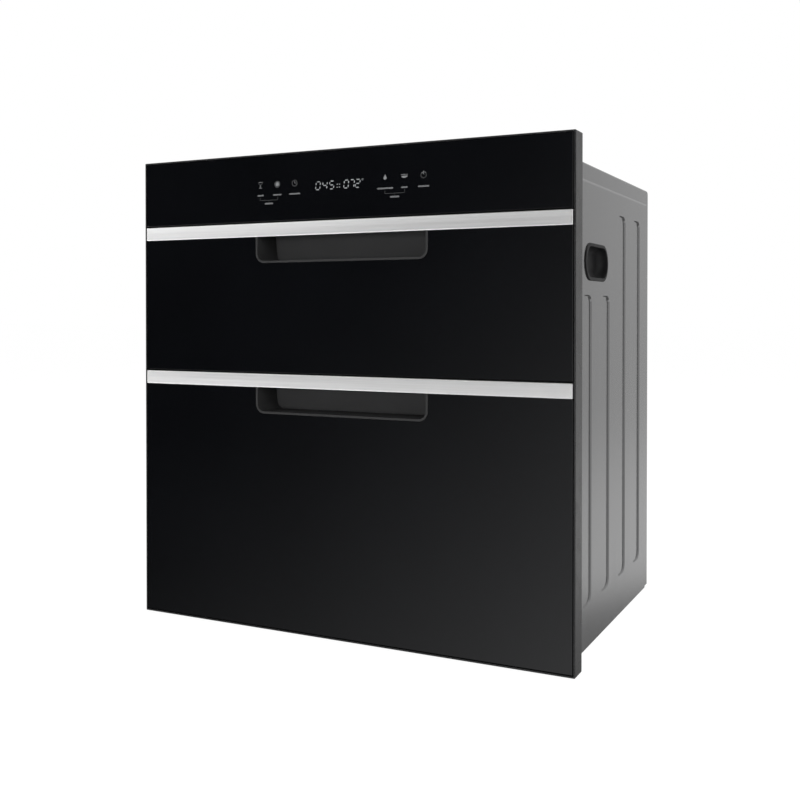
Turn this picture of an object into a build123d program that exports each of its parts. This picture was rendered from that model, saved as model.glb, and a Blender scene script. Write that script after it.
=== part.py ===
from build123d import *
import math
import os

# A built-in dish dryer with two pull-out drawers behind black glass fronts.
# +X is the user's right, -Y faces the user and +Z is up. The origin is the middle
# of the flat underside that rests in the kitchen cabinet. All sizes are in millimetres.

# Steel body behind the front panel
BODY_WIDTH = 560.0
BODY_DEPTH = 400.0
BODY_HEIGHT = 579.4
SHEET = 1.0
BEND_RADIUS = 2.0
COVER_FLANGE = 22.0
COVER_REAR_RADIUS = 6.0
COVER_SIDE_RADIUS = 3.0
TONGUE_HEIGHT = 18.0
SIDE_RETURN = 12.0
SIDE_LIFT = 3.5
BASE_SETBACK = 12.0
BASE_FLANGE = 16.0

# Pressed ribs in the side panels
RIB_WIDTH = 40.0
RIB_DEPTH = 1.8
RIB_CORNER = 12.0
RIB_DRAFT = 35.0
RIB_BOTTOM = 52.0
RIB_FRONT_SPACE = 61.0
RIB_REAR_SPACE = 52.0
RIB_GRIP_SPACE = 17.25
RIB_SEAM_SPACE = 27.5
RIB_COUNT = 4

# Carrying grips let into the side panels
GRIP_LENGTH = 100.0
GRIP_HEIGHT = 45.5
GRIP_RIM = 4.0
GRIP_PROUD = 1.6
GRIP_DEPTH = 13.5
GRIP_WALL = 1.8
GRIP_BOWL = 9.0
GRIP_ROUND = 1.0
GRIP_MIDDLE_Y = 121.0
GRIP_BELOW_SEAM = 94.5

# Front panel and its surround
PANEL_OVERHANG = 17.5
PANEL_ABOVE = 22.1
PANEL_DEPTH = 25.0
PANEL_LIFT = 0.8
CHEEK = 2.0
FLANGE = 1.5
EDGE_ROUND = 0.6
SIDE_GAP = 1.2
BOTTOM_GAP = 1.0
DOOR_GAP = 2.0
GLASS = 4.0
GLASS_CHAMFER = 0.6
TRIM_GAP = 0.3
CONTROL_GLASS_HEIGHT = 82.5
LOWER_GLASS_SHARE = 0.639
SEAT_GROOVE_WIDTH = 1.0
SEAT_GROOVE_DEPTH = 0.4

# Fixing holes in the flange, for screws into the kitchen cabinet
FIXING_EDGE = 8.5
FIXING_LOW = 100.0
FIXING_BELOW_TOP = 129.4
FIXING_RADIUS = 2.5

# Brushed steel strips over the finger pulls
STRIP_HEIGHT = 16.8
STRIP_PROUD = 1.0
STRIP_WALL = 1.2
STRIP_ROUND = 0.8
STRIP_END = 2.0

# Finger pulls
PULL_WIDTH = 240.0
PULL_DROP = 33.4
PULL_CORNER = 12.0
PULL_RIM = 2.6
PULL_DEPTH_LOW = 47.5
PULL_DEPTH_HIGH = 42.0
PULL_RISE = 9.0
PULL_WALL = 2.2
PULL_WINDOW_GAP = 1.5

# Drawer door pans and seals
PAN_SHEET = 1.0
PAN_INSET = 1.0
PAN_SIDE_INSET = 2.0
PAN_LIP = 14.0
SEAL_THICKNESS = 3.0
SEAL_WIDTH = 7.0
SEAL_MARGIN = 1.5
SEAL_GAP = 0.3
SEAL_INNER_CORNER = 2.0

# Chambers
WINDOW_INSET = 18.0
WINDOW_CORNER = 4.0
WINDOW_FLOOR = 26.0
WINDOW_SILL = 10.7
WINDOW_RISE = 7.0
REAR_SPACE = 55.0
LINER = 1.0
LINER_LIP = 5.0
VENT_WIDTH = 5.0
VENT_PITCH = 14.0
VENT_LENGTH = 34.0
VENT_COUNT = 11
INTAKE_COLUMNS = 5
LOWER_VENT_SHARES = (0.25, 0.43, 0.815)
UPPER_VENT_LIFT = 19.5
UPPER_VENT_LENGTH = 24.0
DUCT_OVERLAP = 4.0

# Telescopic runners
RUNNER_HEIGHT = 45.0
RUNNER_START = 4.0
RUNNER_REAR_SPACE = 11.0
RUNNER_SHEET = 1.2
RUNNER_REACH = 10.0
RUNNER_RETURN = 3.0
RUNNER_GAP = 0.4
RUNNER_EDGE = 3.0
RUNNER_SPACE = 14.5
UPPER_RUNNER_LIFT = 33.5
LOWER_RUNNER_LIFT = 64.0

# Cradles that join the doors to the runners
ARM_SHEET = 1.2
ARM_LEDGE = 15.0
ARM_REAR_SPACE = 15.0

# Drip trays
TRAY_SHEET = 0.8
TRAY_RIM = 12.0
TRAY_DEPTH = 11.5
TRAY_CORNER = 8.0
TRAY_SIDE_GAP = 2.0
TRAY_LEDGE_GAP = 0.5
TRAY_FRONT = 6.0
TRAY_REAR_SPACE = 23.0

# Slotted steel baskets
BASKET_SHEET = 1.2
BASKET_SIDE_SPACE = 6.5
BASKET_FRONT = 5.0
BASKET_REAR_SPACE = 53.0
BASKET_CORNER = 16.0
BASKET_BEND = 4.0
BASKET_RIM = 2.0
BASKET_RIM_HEIGHT = 4.0
BASKET_SLOT = 5.0
BASKET_SLOT_PITCH = 22.0
BASKET_SLOT_INSET = 16.0
FLOOR_SLOT_ROWS = 4
FLOOR_SLOT_BRIDGE = 14.0
UPPER_BASKET_HEIGHT = 78.0
LOWER_BASKET_HEIGHT = 100.0

# Plate holder in the lower drawer
WIRE = 1.5
PLATE_GAPS = 12
PLATE_PITCH = 28.0
PLATE_HOOP_HEIGHT = 62.0
PLATE_HOOP_DEPTH = 120.0
PLATE_HOOP_CORNER = 14.0
PLATE_SIDE_SPACE = 19.0
PLATE_FRONT_Y = 100.0
PLATE_RAIL_OVERHANG = 10.0

# Cutlery holder in the upper drawer
CUTLERY_WIDTH = 62.0
CUTLERY_LENGTH = 250.0
CUTLERY_HEIGHT = 66.0
CUTLERY_WALL = 1.6
CUTLERY_SLOT = 4.0
CUTLERY_SLOT_PITCH = 10.0
CUTLERY_CORNER = 10.0
CUTLERY_GAP = 4.0
CUTLERY_SLOT_INSET = 12.0

# Fan, duct and heaters behind the chambers
FAN_DROP = 68.6
FAN_RADIUS = 50.0
FAN_HUB = 10.0
FAN_DEPTH = 17.0
FAN_BLADES = 24
FAN_BLADE_LENGTH = 11.0
FAN_BLADE_SHEET = 1.0
FAN_BLADE_ANGLE = 25.0
FAN_BLADE_INSET = 0.5
FAN_PLATE = 1.6
FAN_RING = 6.6
FAN_BACK_GAP = 2.25
WHEEL_HUB = 8.0
VOLUTE_RADIUS = 60.0
VOLUTE_DEPTH = 25.0
VOLUTE_WALL = 1.5
VOLUTE_INLET = 34.0
THROAT_INNER = 12.0
MOTOR_RADIUS = 30.0
MOTOR_LENGTH = 22.0
SHAFT_RADIUS = 3.0
SHAFT_CLEARANCE = 0.05
SHAFT_IN_MOTOR = 16.5
SHAFT_END_GAP = 2.0
MOTOR_ROUND = 3.0
MOTOR_EAR_REACH = 9.0
MOTOR_EAR_HEIGHT = 12.0
MOTOR_EAR_SHEET = 2.0
DUCT_HALF = 100.0
DUCT_LIFT = 34.0
DUCT_FAN_GAP = 4.0
HEATER_HALF = 86.0
HEATER_DROP = 82.0
HEATER_HEIGHT = 54.0
HEATER_BARS = 3
HEATER_BAR = 6.0
HEATER_FINS = 34
HEATER_FIN_SHEET = 0.8
HEATER_FIN_INSET = 2.0
QUARTZ_RADIUS = 5.0
QUARTZ_SIDE_SPACE = 62.0
QUARTZ_CAP_LENGTH = 16.0
QUARTZ_CAP_RADIUS = 6.2
QUARTZ_DROPS = (103.0, 75.0)
LAMP_RADIUS = 7.5
LAMP_HALF = 105.0
LAMP_SOCKET = 14.0
LAMP_PIN_RADIUS = 2.5
SOCKET_ROUND = 3.0
LAMP_DROP = 22.6
LAMP_WALL_GAP = 1.5

# Controls
BOARD_WIDTH = 268.0
BOARD_HEIGHT = 44.0
BOARD = 1.6
BOARD_SETBACK = 8.0
KEY_PITCH = 25.4
KEY_FIRST = 63.5
KEY_RADIUS = 4.0
KEY_BELOW_TOP = 37.0
DISPLAY_WIDTH = 76.0
DISPLAY_HEIGHT = 20.0
DISPLAY_DROP = 4.0
DISPLAY_CORNER = 1.0
CHIP_SIZE = (10.0, 1.2, 8.0)
CHIP_X = (-60.0, 0.0, 60.0)
CHIP_DROP = 14.0
POST_INSET = 8.0
WIRING_WIDTH = 134.0
WIRING_HEIGHT = 16.0
WIRING_CORNER = 4.0
CARRIER_WALL = 2.0
CARRIER_INSET = 1.5

# Electronics above the upper chamber
ELECTRONICS_HALF = 160.0
ELECTRONICS_FRONT = 60.0
ELECTRONICS_REAR_SPACE = 15.0
ELECTRONICS_WALL = 2.0
ELECTRONICS_RIM = 10.0
ELECTRONICS_CORNER = 6.0
POST_RADIUS = 4.0
POST_HEIGHT = 6.0
POWER_BOARD_X = (-150.0, 0.0)
POWER_BOARD_Y = (80.0, 210.0)
BOARD_BLOCKS = {
    "transformer": (-140.0, 150.0, 40.0, 35.0, 30.0),
    "fan_relay": (-80.0, 160.0, 19.0, 16.0, 20.0),
    "heater_relay": (-50.0, 160.0, 19.0, 16.0, 20.0),
    "heat_sink": (-70.0, 110.0, 60.0, 6.0, 24.0),
    "plug_row": (-120.0, 84.0, 90.0, 10.0, 12.0),
}
CAPACITOR_X = (-130.0, -110.0, -90.0)
CAPACITOR_Y = 130.0
CAPACITOR_HEIGHT = 22.0
CAPACITOR_RADIUS = 7.0
OZONE_X = (40.0, 120.0)
OZONE_Y = (110.0, 160.0)
OZONE_HEIGHT = 32.0
OZONE_CORNER = 4.0
NOZZLE_LENGTH = 22.0
NOZZLE_RADIUS = 4.0
NOZZLE_BORE = 2.5

# Sensors, gland and screws
REED_SIZE = (26.0, 6.0, 9.0)
MAGNET_SIZE = (20.0, 4.0, 7.0)
SENSOR_X = 150.0
GLAND_SIDE_SPACE = 60.0
GLAND_Z = 42.0
GLAND_BORE = 4.0
GLAND_RADIUS = 8.0
GLAND_FLANGE = 12.0
GLAND_OUT = 12.0
GLAND_IN = 10.0
SCREW_RADIUS = 1.7
SCREW_HEAD = 3.6
SCREW_HEAD_HEIGHT = 2.0
SCREW_LENGTH = 8.0
SCREW_ROUND = 1.0
SCREW_RECESS = (0.9, 4.4)
REAR_SCREW_INSET = 30.0
REAR_SCREW_ROWS = 5
LOUVRE_LENGTH = 60.0
LOUVRE_WIDTH = 4.0
LOUVRE_PITCH = 11.0
LOUVRE_ROWS = 9
LOUVRE_X = 110.0
LOUVRE_START_Z = 96.0
GRILLE_RADIUS = 52.0
GRILLE_COLUMNS = 9

# Places worked out from the sizes above
FRONT = -BODY_DEPTH / 2
REAR = BODY_DEPTH / 2
BODY_HALF = BODY_WIDTH / 2
SEAM_Z = BODY_HEIGHT - COVER_FLANGE
SIDE_REAR = REAR - SHEET
RIB_SPAN = BODY_DEPTH - RIB_FRONT_SPACE - RIB_WIDTH - RIB_REAR_SPACE
RIB_PITCH = RIB_SPAN / (RIB_COUNT - 1)
GRIP_MIDDLE_Z = SEAM_Z - GRIP_BELOW_SEAM
RIB_SHORT_TOP = GRIP_MIDDLE_Z - GRIP_HEIGHT / 2 - RIB_GRIP_SPACE
RIB_LONG_TOP = SEAM_Z - RIB_SEAM_SPACE

PANEL_HALF = BODY_HALF + PANEL_OVERHANG
PANEL_TOP = BODY_HEIGHT + PANEL_ABOVE
PANEL_FACE = FRONT - PANEL_DEPTH
GLASS_BACK = PANEL_FACE + GLASS
GLASS_HALF = PANEL_HALF - CHEEK - SIDE_GAP
LOWER_GLASS_BOTTOM = PANEL_LIFT + CHEEK + BOTTOM_GAP
CONTROL_GLASS_TOP = PANEL_TOP - CHEEK - TRIM_GAP
CONTROL_GLASS_BOTTOM = CONTROL_GLASS_TOP - CONTROL_GLASS_HEIGHT
UPPER_STRIP_BOTTOM = CONTROL_GLASS_BOTTOM - DOOR_GAP - STRIP_HEIGHT
DOOR_GLASS = UPPER_STRIP_BOTTOM - STRIP_HEIGHT - DOOR_GAP - LOWER_GLASS_BOTTOM
LOWER_STRIP_BOTTOM = LOWER_GLASS_BOTTOM + LOWER_GLASS_SHARE * DOOR_GLASS
UPPER_GLASS_BOTTOM = LOWER_STRIP_BOTTOM + STRIP_HEIGHT + DOOR_GAP
KEY_Z = PANEL_TOP - KEY_BELOW_TOP
SEAL_BACK = FRONT - FLANGE - SEAL_GAP
PAN_BACK = SEAL_BACK - SEAL_THICKNESS
PAN_HALF = GLASS_HALF - PAN_SIDE_INSET

WINDOW_HALF = BODY_HALF - WINDOW_INSET
CHAMBER_DEPTH = BODY_DEPTH - REAR_SPACE
CHAMBER_BACK = FRONT + CHAMBER_DEPTH
LINER_BACK = CHAMBER_BACK + LINER
LOWER_WINDOW = (WINDOW_FLOOR, LOWER_STRIP_BOTTOM + WINDOW_RISE)
UPPER_WINDOW = (UPPER_GLASS_BOTTOM + WINDOW_SILL, UPPER_STRIP_BOTTOM + WINDOW_RISE)
LINER_TOP = UPPER_WINDOW[1] + LINER
RUNNER_LENGTH = CHAMBER_DEPTH - RUNNER_START - RUNNER_REAR_SPACE
UPPER_RUNNER_Z = UPPER_WINDOW[0] + UPPER_RUNNER_LIFT
LOWER_RUNNER_Z = LOWER_WINDOW[0] + LOWER_RUNNER_LIFT
ARM_OUTER = WINDOW_HALF - RUNNER_SPACE
ARM_END = CHAMBER_DEPTH - ARM_REAR_SPACE
TRAY_REAR = CHAMBER_DEPTH - TRAY_REAR_SPACE
BASKET_HALF = ARM_OUTER - BASKET_SIDE_SPACE
BASKET_REAR = CHAMBER_DEPTH - BASKET_REAR_SPACE
PLATE_START_X = PLATE_SIDE_SPACE - BASKET_HALF

FAN_Z = UPPER_WINDOW[1] - FAN_DROP
DUCT_LOW = LOWER_WINDOW[0] + DUCT_LIFT
DUCT_HIGH = FAN_Z - VOLUTE_RADIUS - DUCT_FAN_GAP
HEATER_LOW = DUCT_HIGH - HEATER_DROP
QUARTZ_HALF = WINDOW_HALF - QUARTZ_SIDE_SPACE
LAMP_Z = UPPER_WINDOW[1] - LAMP_DROP
ELECTRONICS_REAR = CHAMBER_DEPTH - ELECTRONICS_REAR_SPACE
GLAND_X = GLAND_SIDE_SPACE - BODY_HALF


def middle(span):
    """The middle of a (low, high) pair."""
    return (span[0] + span[1]) / 2


def block(x, y, z):
    """A block between (low, high) pairs along X, Y and Z."""
    size = [high - low for low, high in (x, y, z)]
    return Pos(middle(x), middle(y), middle(z)) * Box(*size)


def rod(start, direction, length, radius):
    """A round bar from a point, along a direction."""
    return Solid.make_cylinder(radius, length, Plane(origin=start, z_dir=direction))


def grow(span, by):
    """A (low, high) pair made longer by the same amount at both ends."""
    return (span[0] - by, span[1] + by)


def both(half):
    """The (low, high) pair of a width centred on zero."""
    return (-half, half)


def outline(across, up, radius):
    """A rectangle with rounded corners between two (low, high) pairs."""
    flat = RectangleRounded(across[1] - across[0], up[1] - up[0], radius)
    return Pos(middle(across), middle(up)) * flat


def along_y(flat, low, high):
    """Extrudes a face drawn in X and Z between two depths."""
    plane = Plane(origin=(0, high, 0), x_dir=(1, 0, 0), z_dir=(0, -1, 0))
    return extrude(plane * flat, high - low)


def along_x(flat, low, high):
    """Extrudes a face drawn in Y and Z between two places across the width."""
    plane = Plane(origin=(low, 0, 0), x_dir=(0, 1, 0), z_dir=(1, 0, 0))
    return extrude(plane * flat, high - low)


def along_z(flat, low, high):
    """Extrudes a face drawn in X and Y between two heights."""
    return extrude(Pos(0, 0, low) * flat, high - low)


def polygon(points):
    """A flat face with straight edges through points."""
    return make_face(Polyline(*points, close=True))


def fused(pieces):
    """One solid made of touching or crossing pieces."""
    first, *rest = pieces
    return Part() + first if not rest else first.fuse(*rest)


def edges_at(part, axis, places):
    """The straight edges parallel to an axis that pass through the given (a, b) places."""
    others = [i for i in range(3) if i != "XYZ".index(axis)]
    lines = part.edges().filter_by({"X": Axis.X, "Y": Axis.Y, "Z": Axis.Z}[axis])
    found = []
    for edge in lines:
        at = tuple(edge.center())
        if any(
            abs(at[others[0]] - a) < 0.01 and abs(at[others[1]] - b) < 0.01 for a, b in places
        ):
            found.append(edge)
    return found


# Body sheet metal


def grip_outline(margin):
    """The stadium shape of a carrying grip, drawn in Y and Z."""
    height = GRIP_HEIGHT + 2 * margin
    shape = SlotOverall(GRIP_LENGTH + 2 * margin, height)
    return Pos(FRONT + GRIP_MIDDLE_Y, GRIP_MIDDLE_Z) * shape


def rib_shape(index, grown):
    """A pressed rib as a drafted block, grown by the sheet for its inner side."""
    front = FRONT + RIB_FRONT_SPACE + index * RIB_PITCH
    top = RIB_SHORT_TOP if index < RIB_COUNT // 2 else RIB_LONG_TOP
    flat = outline(
        grow((front, front + RIB_WIDTH), grown),
        grow((RIB_BOTTOM, top), grown),
        RIB_CORNER + grown,
    )
    plane = Plane(origin=(BODY_HALF, 0, 0), x_dir=(0, -1, 0), z_dir=(-1, 0, 0))
    mirrored = mirror(flat, about=Plane.YZ)
    return extrude(plane * mirrored, RIB_DEPTH + grown, taper=RIB_DRAFT)


def rear_screw_heights():
    """The heights of the rear panel's screws, evenly spaced."""
    low, high = SIDE_LIFT + REAR_SCREW_INSET, SEAM_Z - REAR_SCREW_INSET
    pitch = (high - low) / (REAR_SCREW_ROWS - 1)
    return [low + row * pitch for row in range(REAR_SCREW_ROWS)]


def rear_screw_places():
    """Where the rear panel's screws sit, as (x, z) pairs."""
    edge = BODY_HALF - SIDE_RETURN / 2
    return [(side * edge, z) for side in (-1, 1) for z in rear_screw_heights()]


def screw_holes(places):
    """Through cuts for the casing screws at (x, z) places in the rear sheets."""
    through = (SIDE_REAR - 2 * SHEET, REAR + SHEET)
    return [along_y(Pos(x, z) * Circle(SCREW_RADIUS), *through) for x, z in places]


def right_side_panel():
    """The folded right side with its stepped-in top edge, pressed ribs and grip opening."""
    web = (BODY_HALF - SHEET, BODY_HALF)
    depth = (FRONT, SIDE_REAR)
    height = (SIDE_LIFT, SEAM_Z - TRIM_GAP)
    outer = block((BODY_HALF - SIDE_RETURN, BODY_HALF), depth, height)
    outer = fillet(edges_at(outer, "Z", [(BODY_HALF, SIDE_REAR)]), BEND_RADIUS)
    inner = block(
        (BODY_HALF - SIDE_RETURN - SHEET, BODY_HALF - SHEET),
        (FRONT + SHEET, SIDE_REAR - SHEET),
        grow(height, SHEET),
    )
    inner = fillet(
        edges_at(inner, "Z", [(BODY_HALF - SHEET, SIDE_REAR - SHEET)]), BEND_RADIUS - SHEET
    )
    panel = outer - inner
    inset = (FRONT + SIDE_RETURN, SIDE_REAR - SIDE_RETURN)
    top = height[1]
    tongue = block((web[0] - SHEET, web[0]), inset, (top - SHEET, top + TONGUE_HEIGHT))
    step = block((web[0] - SHEET, web[1]), inset, (top - SHEET, top))
    panel = panel + tongue + step
    for index in range(RIB_COUNT):
        panel = panel + rib_shape(index, SHEET)
    for index in range(RIB_COUNT):
        panel = panel - rib_shape(index, 0.0)
    opening = grip_outline(TRIM_GAP - GRIP_RIM + GRIP_WALL)
    cuts = screw_holes([(x, z) for x, z in rear_screw_places() if x > 0])
    cuts.append(along_x(opening, web[0] - SHEET, web[1] + SHEET))
    return panel.cut(*cuts)


def right_grip():
    """A moulded bowl with a raised rim that clips into the side panel's opening."""
    rim = along_x(grip_outline(0.0), BODY_HALF, BODY_HALF + GRIP_PROUD)
    rim = fillet(rim.faces().sort_by(Axis.X)[-1].outer_wire().edges(), GRIP_ROUND)
    floor_x = BODY_HALF + GRIP_PROUD - GRIP_DEPTH - GRIP_WALL
    cup = along_x(grip_outline(GRIP_WALL - GRIP_RIM), floor_x, BODY_HALF + GRIP_PROUD)
    cup = fillet(cup.faces().sort_by(Axis.X)[0].edges(), GRIP_BOWL + GRIP_WALL)
    hollow = along_x(
        grip_outline(-GRIP_RIM), floor_x + GRIP_WALL, BODY_HALF + 2 * GRIP_PROUD
    )
    hollow = fillet(hollow.faces().sort_by(Axis.X)[0].edges(), GRIP_BOWL)
    return rim + cup - hollow


def top_cover():
    """The folded lid whose flanges hang over the sides and the back."""
    height = (SEAM_Z, BODY_HEIGHT)
    outer = block(both(BODY_HALF), (FRONT, REAR), height)
    outer = fillet(edges_at(outer, "X", [(REAR, BODY_HEIGHT)]), COVER_REAR_RADIUS)
    sides = outer.edges().filter_by(Axis.Y).group_by(Axis.Z)[-1]
    outer = fillet(sides, COVER_SIDE_RADIUS)
    inner_x = both(BODY_HALF - SHEET)
    inner = block(
        inner_x,
        (FRONT - SHEET, REAR - SHEET),
        (SEAM_Z - SHEET, BODY_HEIGHT - SHEET),
    )
    inner = fillet(
        edges_at(inner, "X", [(REAR - SHEET, BODY_HEIGHT - SHEET)]), COVER_REAR_RADIUS - SHEET
    )
    inner = fillet(
        inner.edges().filter_by(Axis.Y).group_by(Axis.Z)[-1], COVER_SIDE_RADIUS - SHEET
    )
    return outer - inner


def base_pan():
    """The folded tray under the body, whose flat underside carries the weight."""
    half = BODY_HALF - SHEET
    depth = (FRONT + SHEET, REAR - BASE_SETBACK)
    outer = block(both(half), depth, (0, BASE_FLANGE))
    hollow = block(
        both(half - SHEET), grow(depth, -SHEET), (SHEET, BASE_FLANGE + SHEET)
    )
    return outer - hollow


def rear_panel():
    """The back sheet with its louvres, fan intake, gland hole and bottom return."""
    half = BODY_HALF - SHEET - BEND_RADIUS
    height = (SIDE_LIFT, SEAM_Z - TRIM_GAP)
    panel = block(both(half), (SIDE_REAR, REAR), height)
    foot_x = both(BODY_HALF - SIDE_RETURN - TRIM_GAP)
    foot = block(foot_x, (REAR - BASE_SETBACK, REAR), (SIDE_LIFT, SIDE_LIFT + SHEET))
    panel = panel + foot
    through = grow((SIDE_REAR, REAR), SHEET)
    cuts = []
    for side in (-1, 1):
        for row in range(LOUVRE_ROWS):
            z = LOUVRE_START_Z + row * LOUVRE_PITCH
            slot = Pos(side * LOUVRE_X, z) * SlotOverall(LOUVRE_LENGTH, LOUVRE_WIDTH)
            cuts.append(along_y(slot, *through))
    for column in range(GRILLE_COLUMNS):
        x = (column - (GRILLE_COLUMNS - 1) / 2) * LOUVRE_PITCH
        tall = 2 * math.sqrt(GRILLE_RADIUS**2 - x**2)
        slot = Pos(x, FAN_Z) * Rot(0, 0, 90) * SlotOverall(tall, LOUVRE_WIDTH)
        cuts.append(along_y(slot, *through))
    cuts.append(along_y(Pos(GLAND_X, GLAND_Z) * Circle(GLAND_RADIUS), *through))
    return panel.cut(*cuts, *screw_holes(rear_screw_places()))


def casing_screws():
    """Pan-head screws that hold the rear panel to the folded sides."""
    screws = []
    for x, z in rear_screw_places():
        head = Part() + rod((x, REAR, z), (0, 1, 0), SCREW_HEAD_HEIGHT, SCREW_HEAD)
        head = fillet(head.faces().sort_by(Axis.Y)[-1].edges(), SCREW_ROUND)
        bar = Box(SCREW_RECESS[0], SCREW_HEAD_HEIGHT, SCREW_RECESS[1])
        cross = bar + Rot(0, 90, 0) * bar
        head = head - Pos(x, REAR + SCREW_HEAD_HEIGHT, z) * cross
        screws.append(head + rod((x, REAR, z), (0, -1, 0), SCREW_LENGTH, SCREW_RADIUS))
    return Compound(children=screws)


def cable_gland():
    """The threaded gland in the back where the supply lead enters."""
    place = (GLAND_X, REAR, GLAND_Z)
    flat = Pos(GLAND_X, GLAND_Z) * RegularPolygon(GLAND_FLANGE, 6)
    nut = along_y(flat, REAR, REAR + GLAND_OUT * 0.5)
    dome = rod(place, (0, 1, 0), GLAND_OUT, GLAND_RADIUS + 1.0)
    body = rod(place, (0, -1, 0), GLAND_IN, GLAND_RADIUS)
    inner = rod((GLAND_X, SIDE_REAR, GLAND_Z), (0, -1, 0), GLAND_IN * 0.5, GLAND_FLANGE)
    gland = Part() + nut + dome + body + inner
    bore = rod(
        (GLAND_X, REAR - 2 * GLAND_IN, GLAND_Z), (0, 1, 0), 2 * (GLAND_IN + GLAND_OUT), GLAND_BORE
    )
    return gland - bore


# Front surround, doors and controls


def wiring_outline():
    """The slot that lets the control wires through the carrier and the flange."""
    height = grow((KEY_Z, KEY_Z), WIRING_HEIGHT / 2)
    return outline(both(WIRING_WIDTH / 2), height, WIRING_CORNER)


def surround_frame():
    """The one-piece front frame: thin cheeks round the fronts and a flange behind them."""
    width, height = both(PANEL_HALF), (PANEL_LIFT, PANEL_TOP)
    frame = block(width, (PANEL_FACE, FRONT), height)
    frame = fillet(frame.edges().filter_by(Axis.Y), EDGE_ROUND * 2)
    frame = fillet(frame.faces().sort_by(Axis.Y)[0].edges(), EDGE_ROUND)
    frame = frame - block(
        grow(width, -CHEEK), (PANEL_FACE - 1, FRONT - FLANGE), grow(height, -CHEEK)
    )
    through = (FRONT - 2 * FLANGE, FRONT + FLANGE)
    cuts = [
        along_y(outline(both(WINDOW_HALF), window, WINDOW_CORNER), *through)
        for window in (LOWER_WINDOW, UPPER_WINDOW)
    ]
    for x in both(PANEL_HALF - FIXING_EDGE):
        for z in (FIXING_LOW, BODY_HEIGHT - FIXING_BELOW_TOP):
            hole = Pos(x, z) * Circle(FIXING_RADIUS)
            cuts.append(along_y(hole, *through))
    cuts.append(along_y(wiring_outline(), *through))
    groove_y = (FRONT - SEAT_GROOVE_DEPTH, FRONT + SHEET)
    groove_top = BODY_HEIGHT + SEAT_GROOVE_WIDTH
    for side in (-1, 1):
        x = sorted((side * BODY_HALF, side * (BODY_HALF + SEAT_GROOVE_WIDTH)))
        cuts.append(block(x, groove_y, (PANEL_LIFT - 1, groove_top)))
    cuts.append(
        block(both(BODY_HALF + SEAT_GROOVE_WIDTH), groove_y, (BODY_HEIGHT, groove_top))
    )
    return frame.cut(*cuts)


def glass_sheet(bottom, top):
    """A black glass front with ground edges."""
    sheet = block(both(GLASS_HALF), (PANEL_FACE, GLASS_BACK), (bottom, top))
    front = sheet.faces().sort_by(Axis.Y)[0]
    return chamfer(front.edges(), GLASS_CHAMFER)


def pull_outline(strip_bottom, margin, top):
    """The finger pull's front view: square at the top, round at the lower corners."""
    half = PULL_WIDTH / 2 + margin
    bottom = strip_bottom - PULL_DROP - margin
    radius = PULL_CORNER + margin
    flat = outline(both(half), (bottom, top + 2 * radius), radius)
    keep = Pos(0, middle((bottom, top))) * Rectangle(4 * half, top - bottom)
    return flat & keep


def door_glass(bottom, strip_bottom):
    """A drawer's glass, notched at the top for the finger pull."""
    notch = pull_outline(strip_bottom, TRIM_GAP, strip_bottom + 1)
    reach = grow((PANEL_FACE, GLASS_BACK), 1.0)
    top = strip_bottom - TRIM_GAP
    return glass_sheet(bottom, top) - along_y(notch, *reach)


def trim_strip(bottom):
    """The brushed steel channel along the top of a drawer front."""
    y = (PANEL_FACE - STRIP_PROUD, GLASS_BACK)
    z = (bottom, bottom + STRIP_HEIGHT)
    strip = block(both(GLASS_HALF), y, z)
    front = strip.faces().sort_by(Axis.Y)[0]
    strip = fillet(front.edges(), STRIP_ROUND)
    hollow = block(
        both(GLASS_HALF - STRIP_END), (y[0] + STRIP_WALL, y[1] + 1), grow(z, -STRIP_WALL)
    )
    return strip - hollow


def pull_profile(strip_bottom, wall):
    """The finger pull's section in Y and Z; wall is 0 for the hollow."""
    floor = strip_bottom - PULL_DROP + (0 if wall else PULL_RIM)
    face = PANEL_FACE if wall else PANEL_FACE - 1
    low = PANEL_FACE + PULL_DEPTH_LOW + wall
    high = PANEL_FACE + PULL_DEPTH_HIGH + wall
    ceiling = strip_bottom + WINDOW_RISE - PULL_WINDOW_GAP - PULL_WALL + wall
    hook_back = PAN_BACK - PAN_SHEET - TRIM_GAP - PULL_WALL + wall
    hook_front = GLASS_BACK + (0 if wall else PULL_WALL)
    hook_top = strip_bottom + PULL_RISE + wall
    lip = strip_bottom - TRIM_GAP
    return polygon(
        [
            (face, floor),
            (low, floor),
            (high, ceiling),
            (hook_back, ceiling),
            (hook_back, hook_top),
            (hook_front, hook_top),
            (hook_front, lip),
            (face, lip),
        ]
    )


def finger_pull(strip_bottom):
    """The moulded recess that fingers reach into, below and behind the strip."""
    top = strip_bottom + PULL_RISE + 2 * PULL_WALL
    reach = (PANEL_FACE - 2, FRONT + PULL_DEPTH_LOW)
    half = PULL_WIDTH / 2
    outer = along_x(pull_profile(strip_bottom, PULL_WALL), -half, half)
    outer = outer & along_y(pull_outline(strip_bottom, 0.0, top), *reach)
    inner = along_x(pull_profile(strip_bottom, 0.0), -half, half)
    hollow = inner & along_y(pull_outline(strip_bottom, -PULL_RIM, top), *reach)
    return outer - hollow


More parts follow.
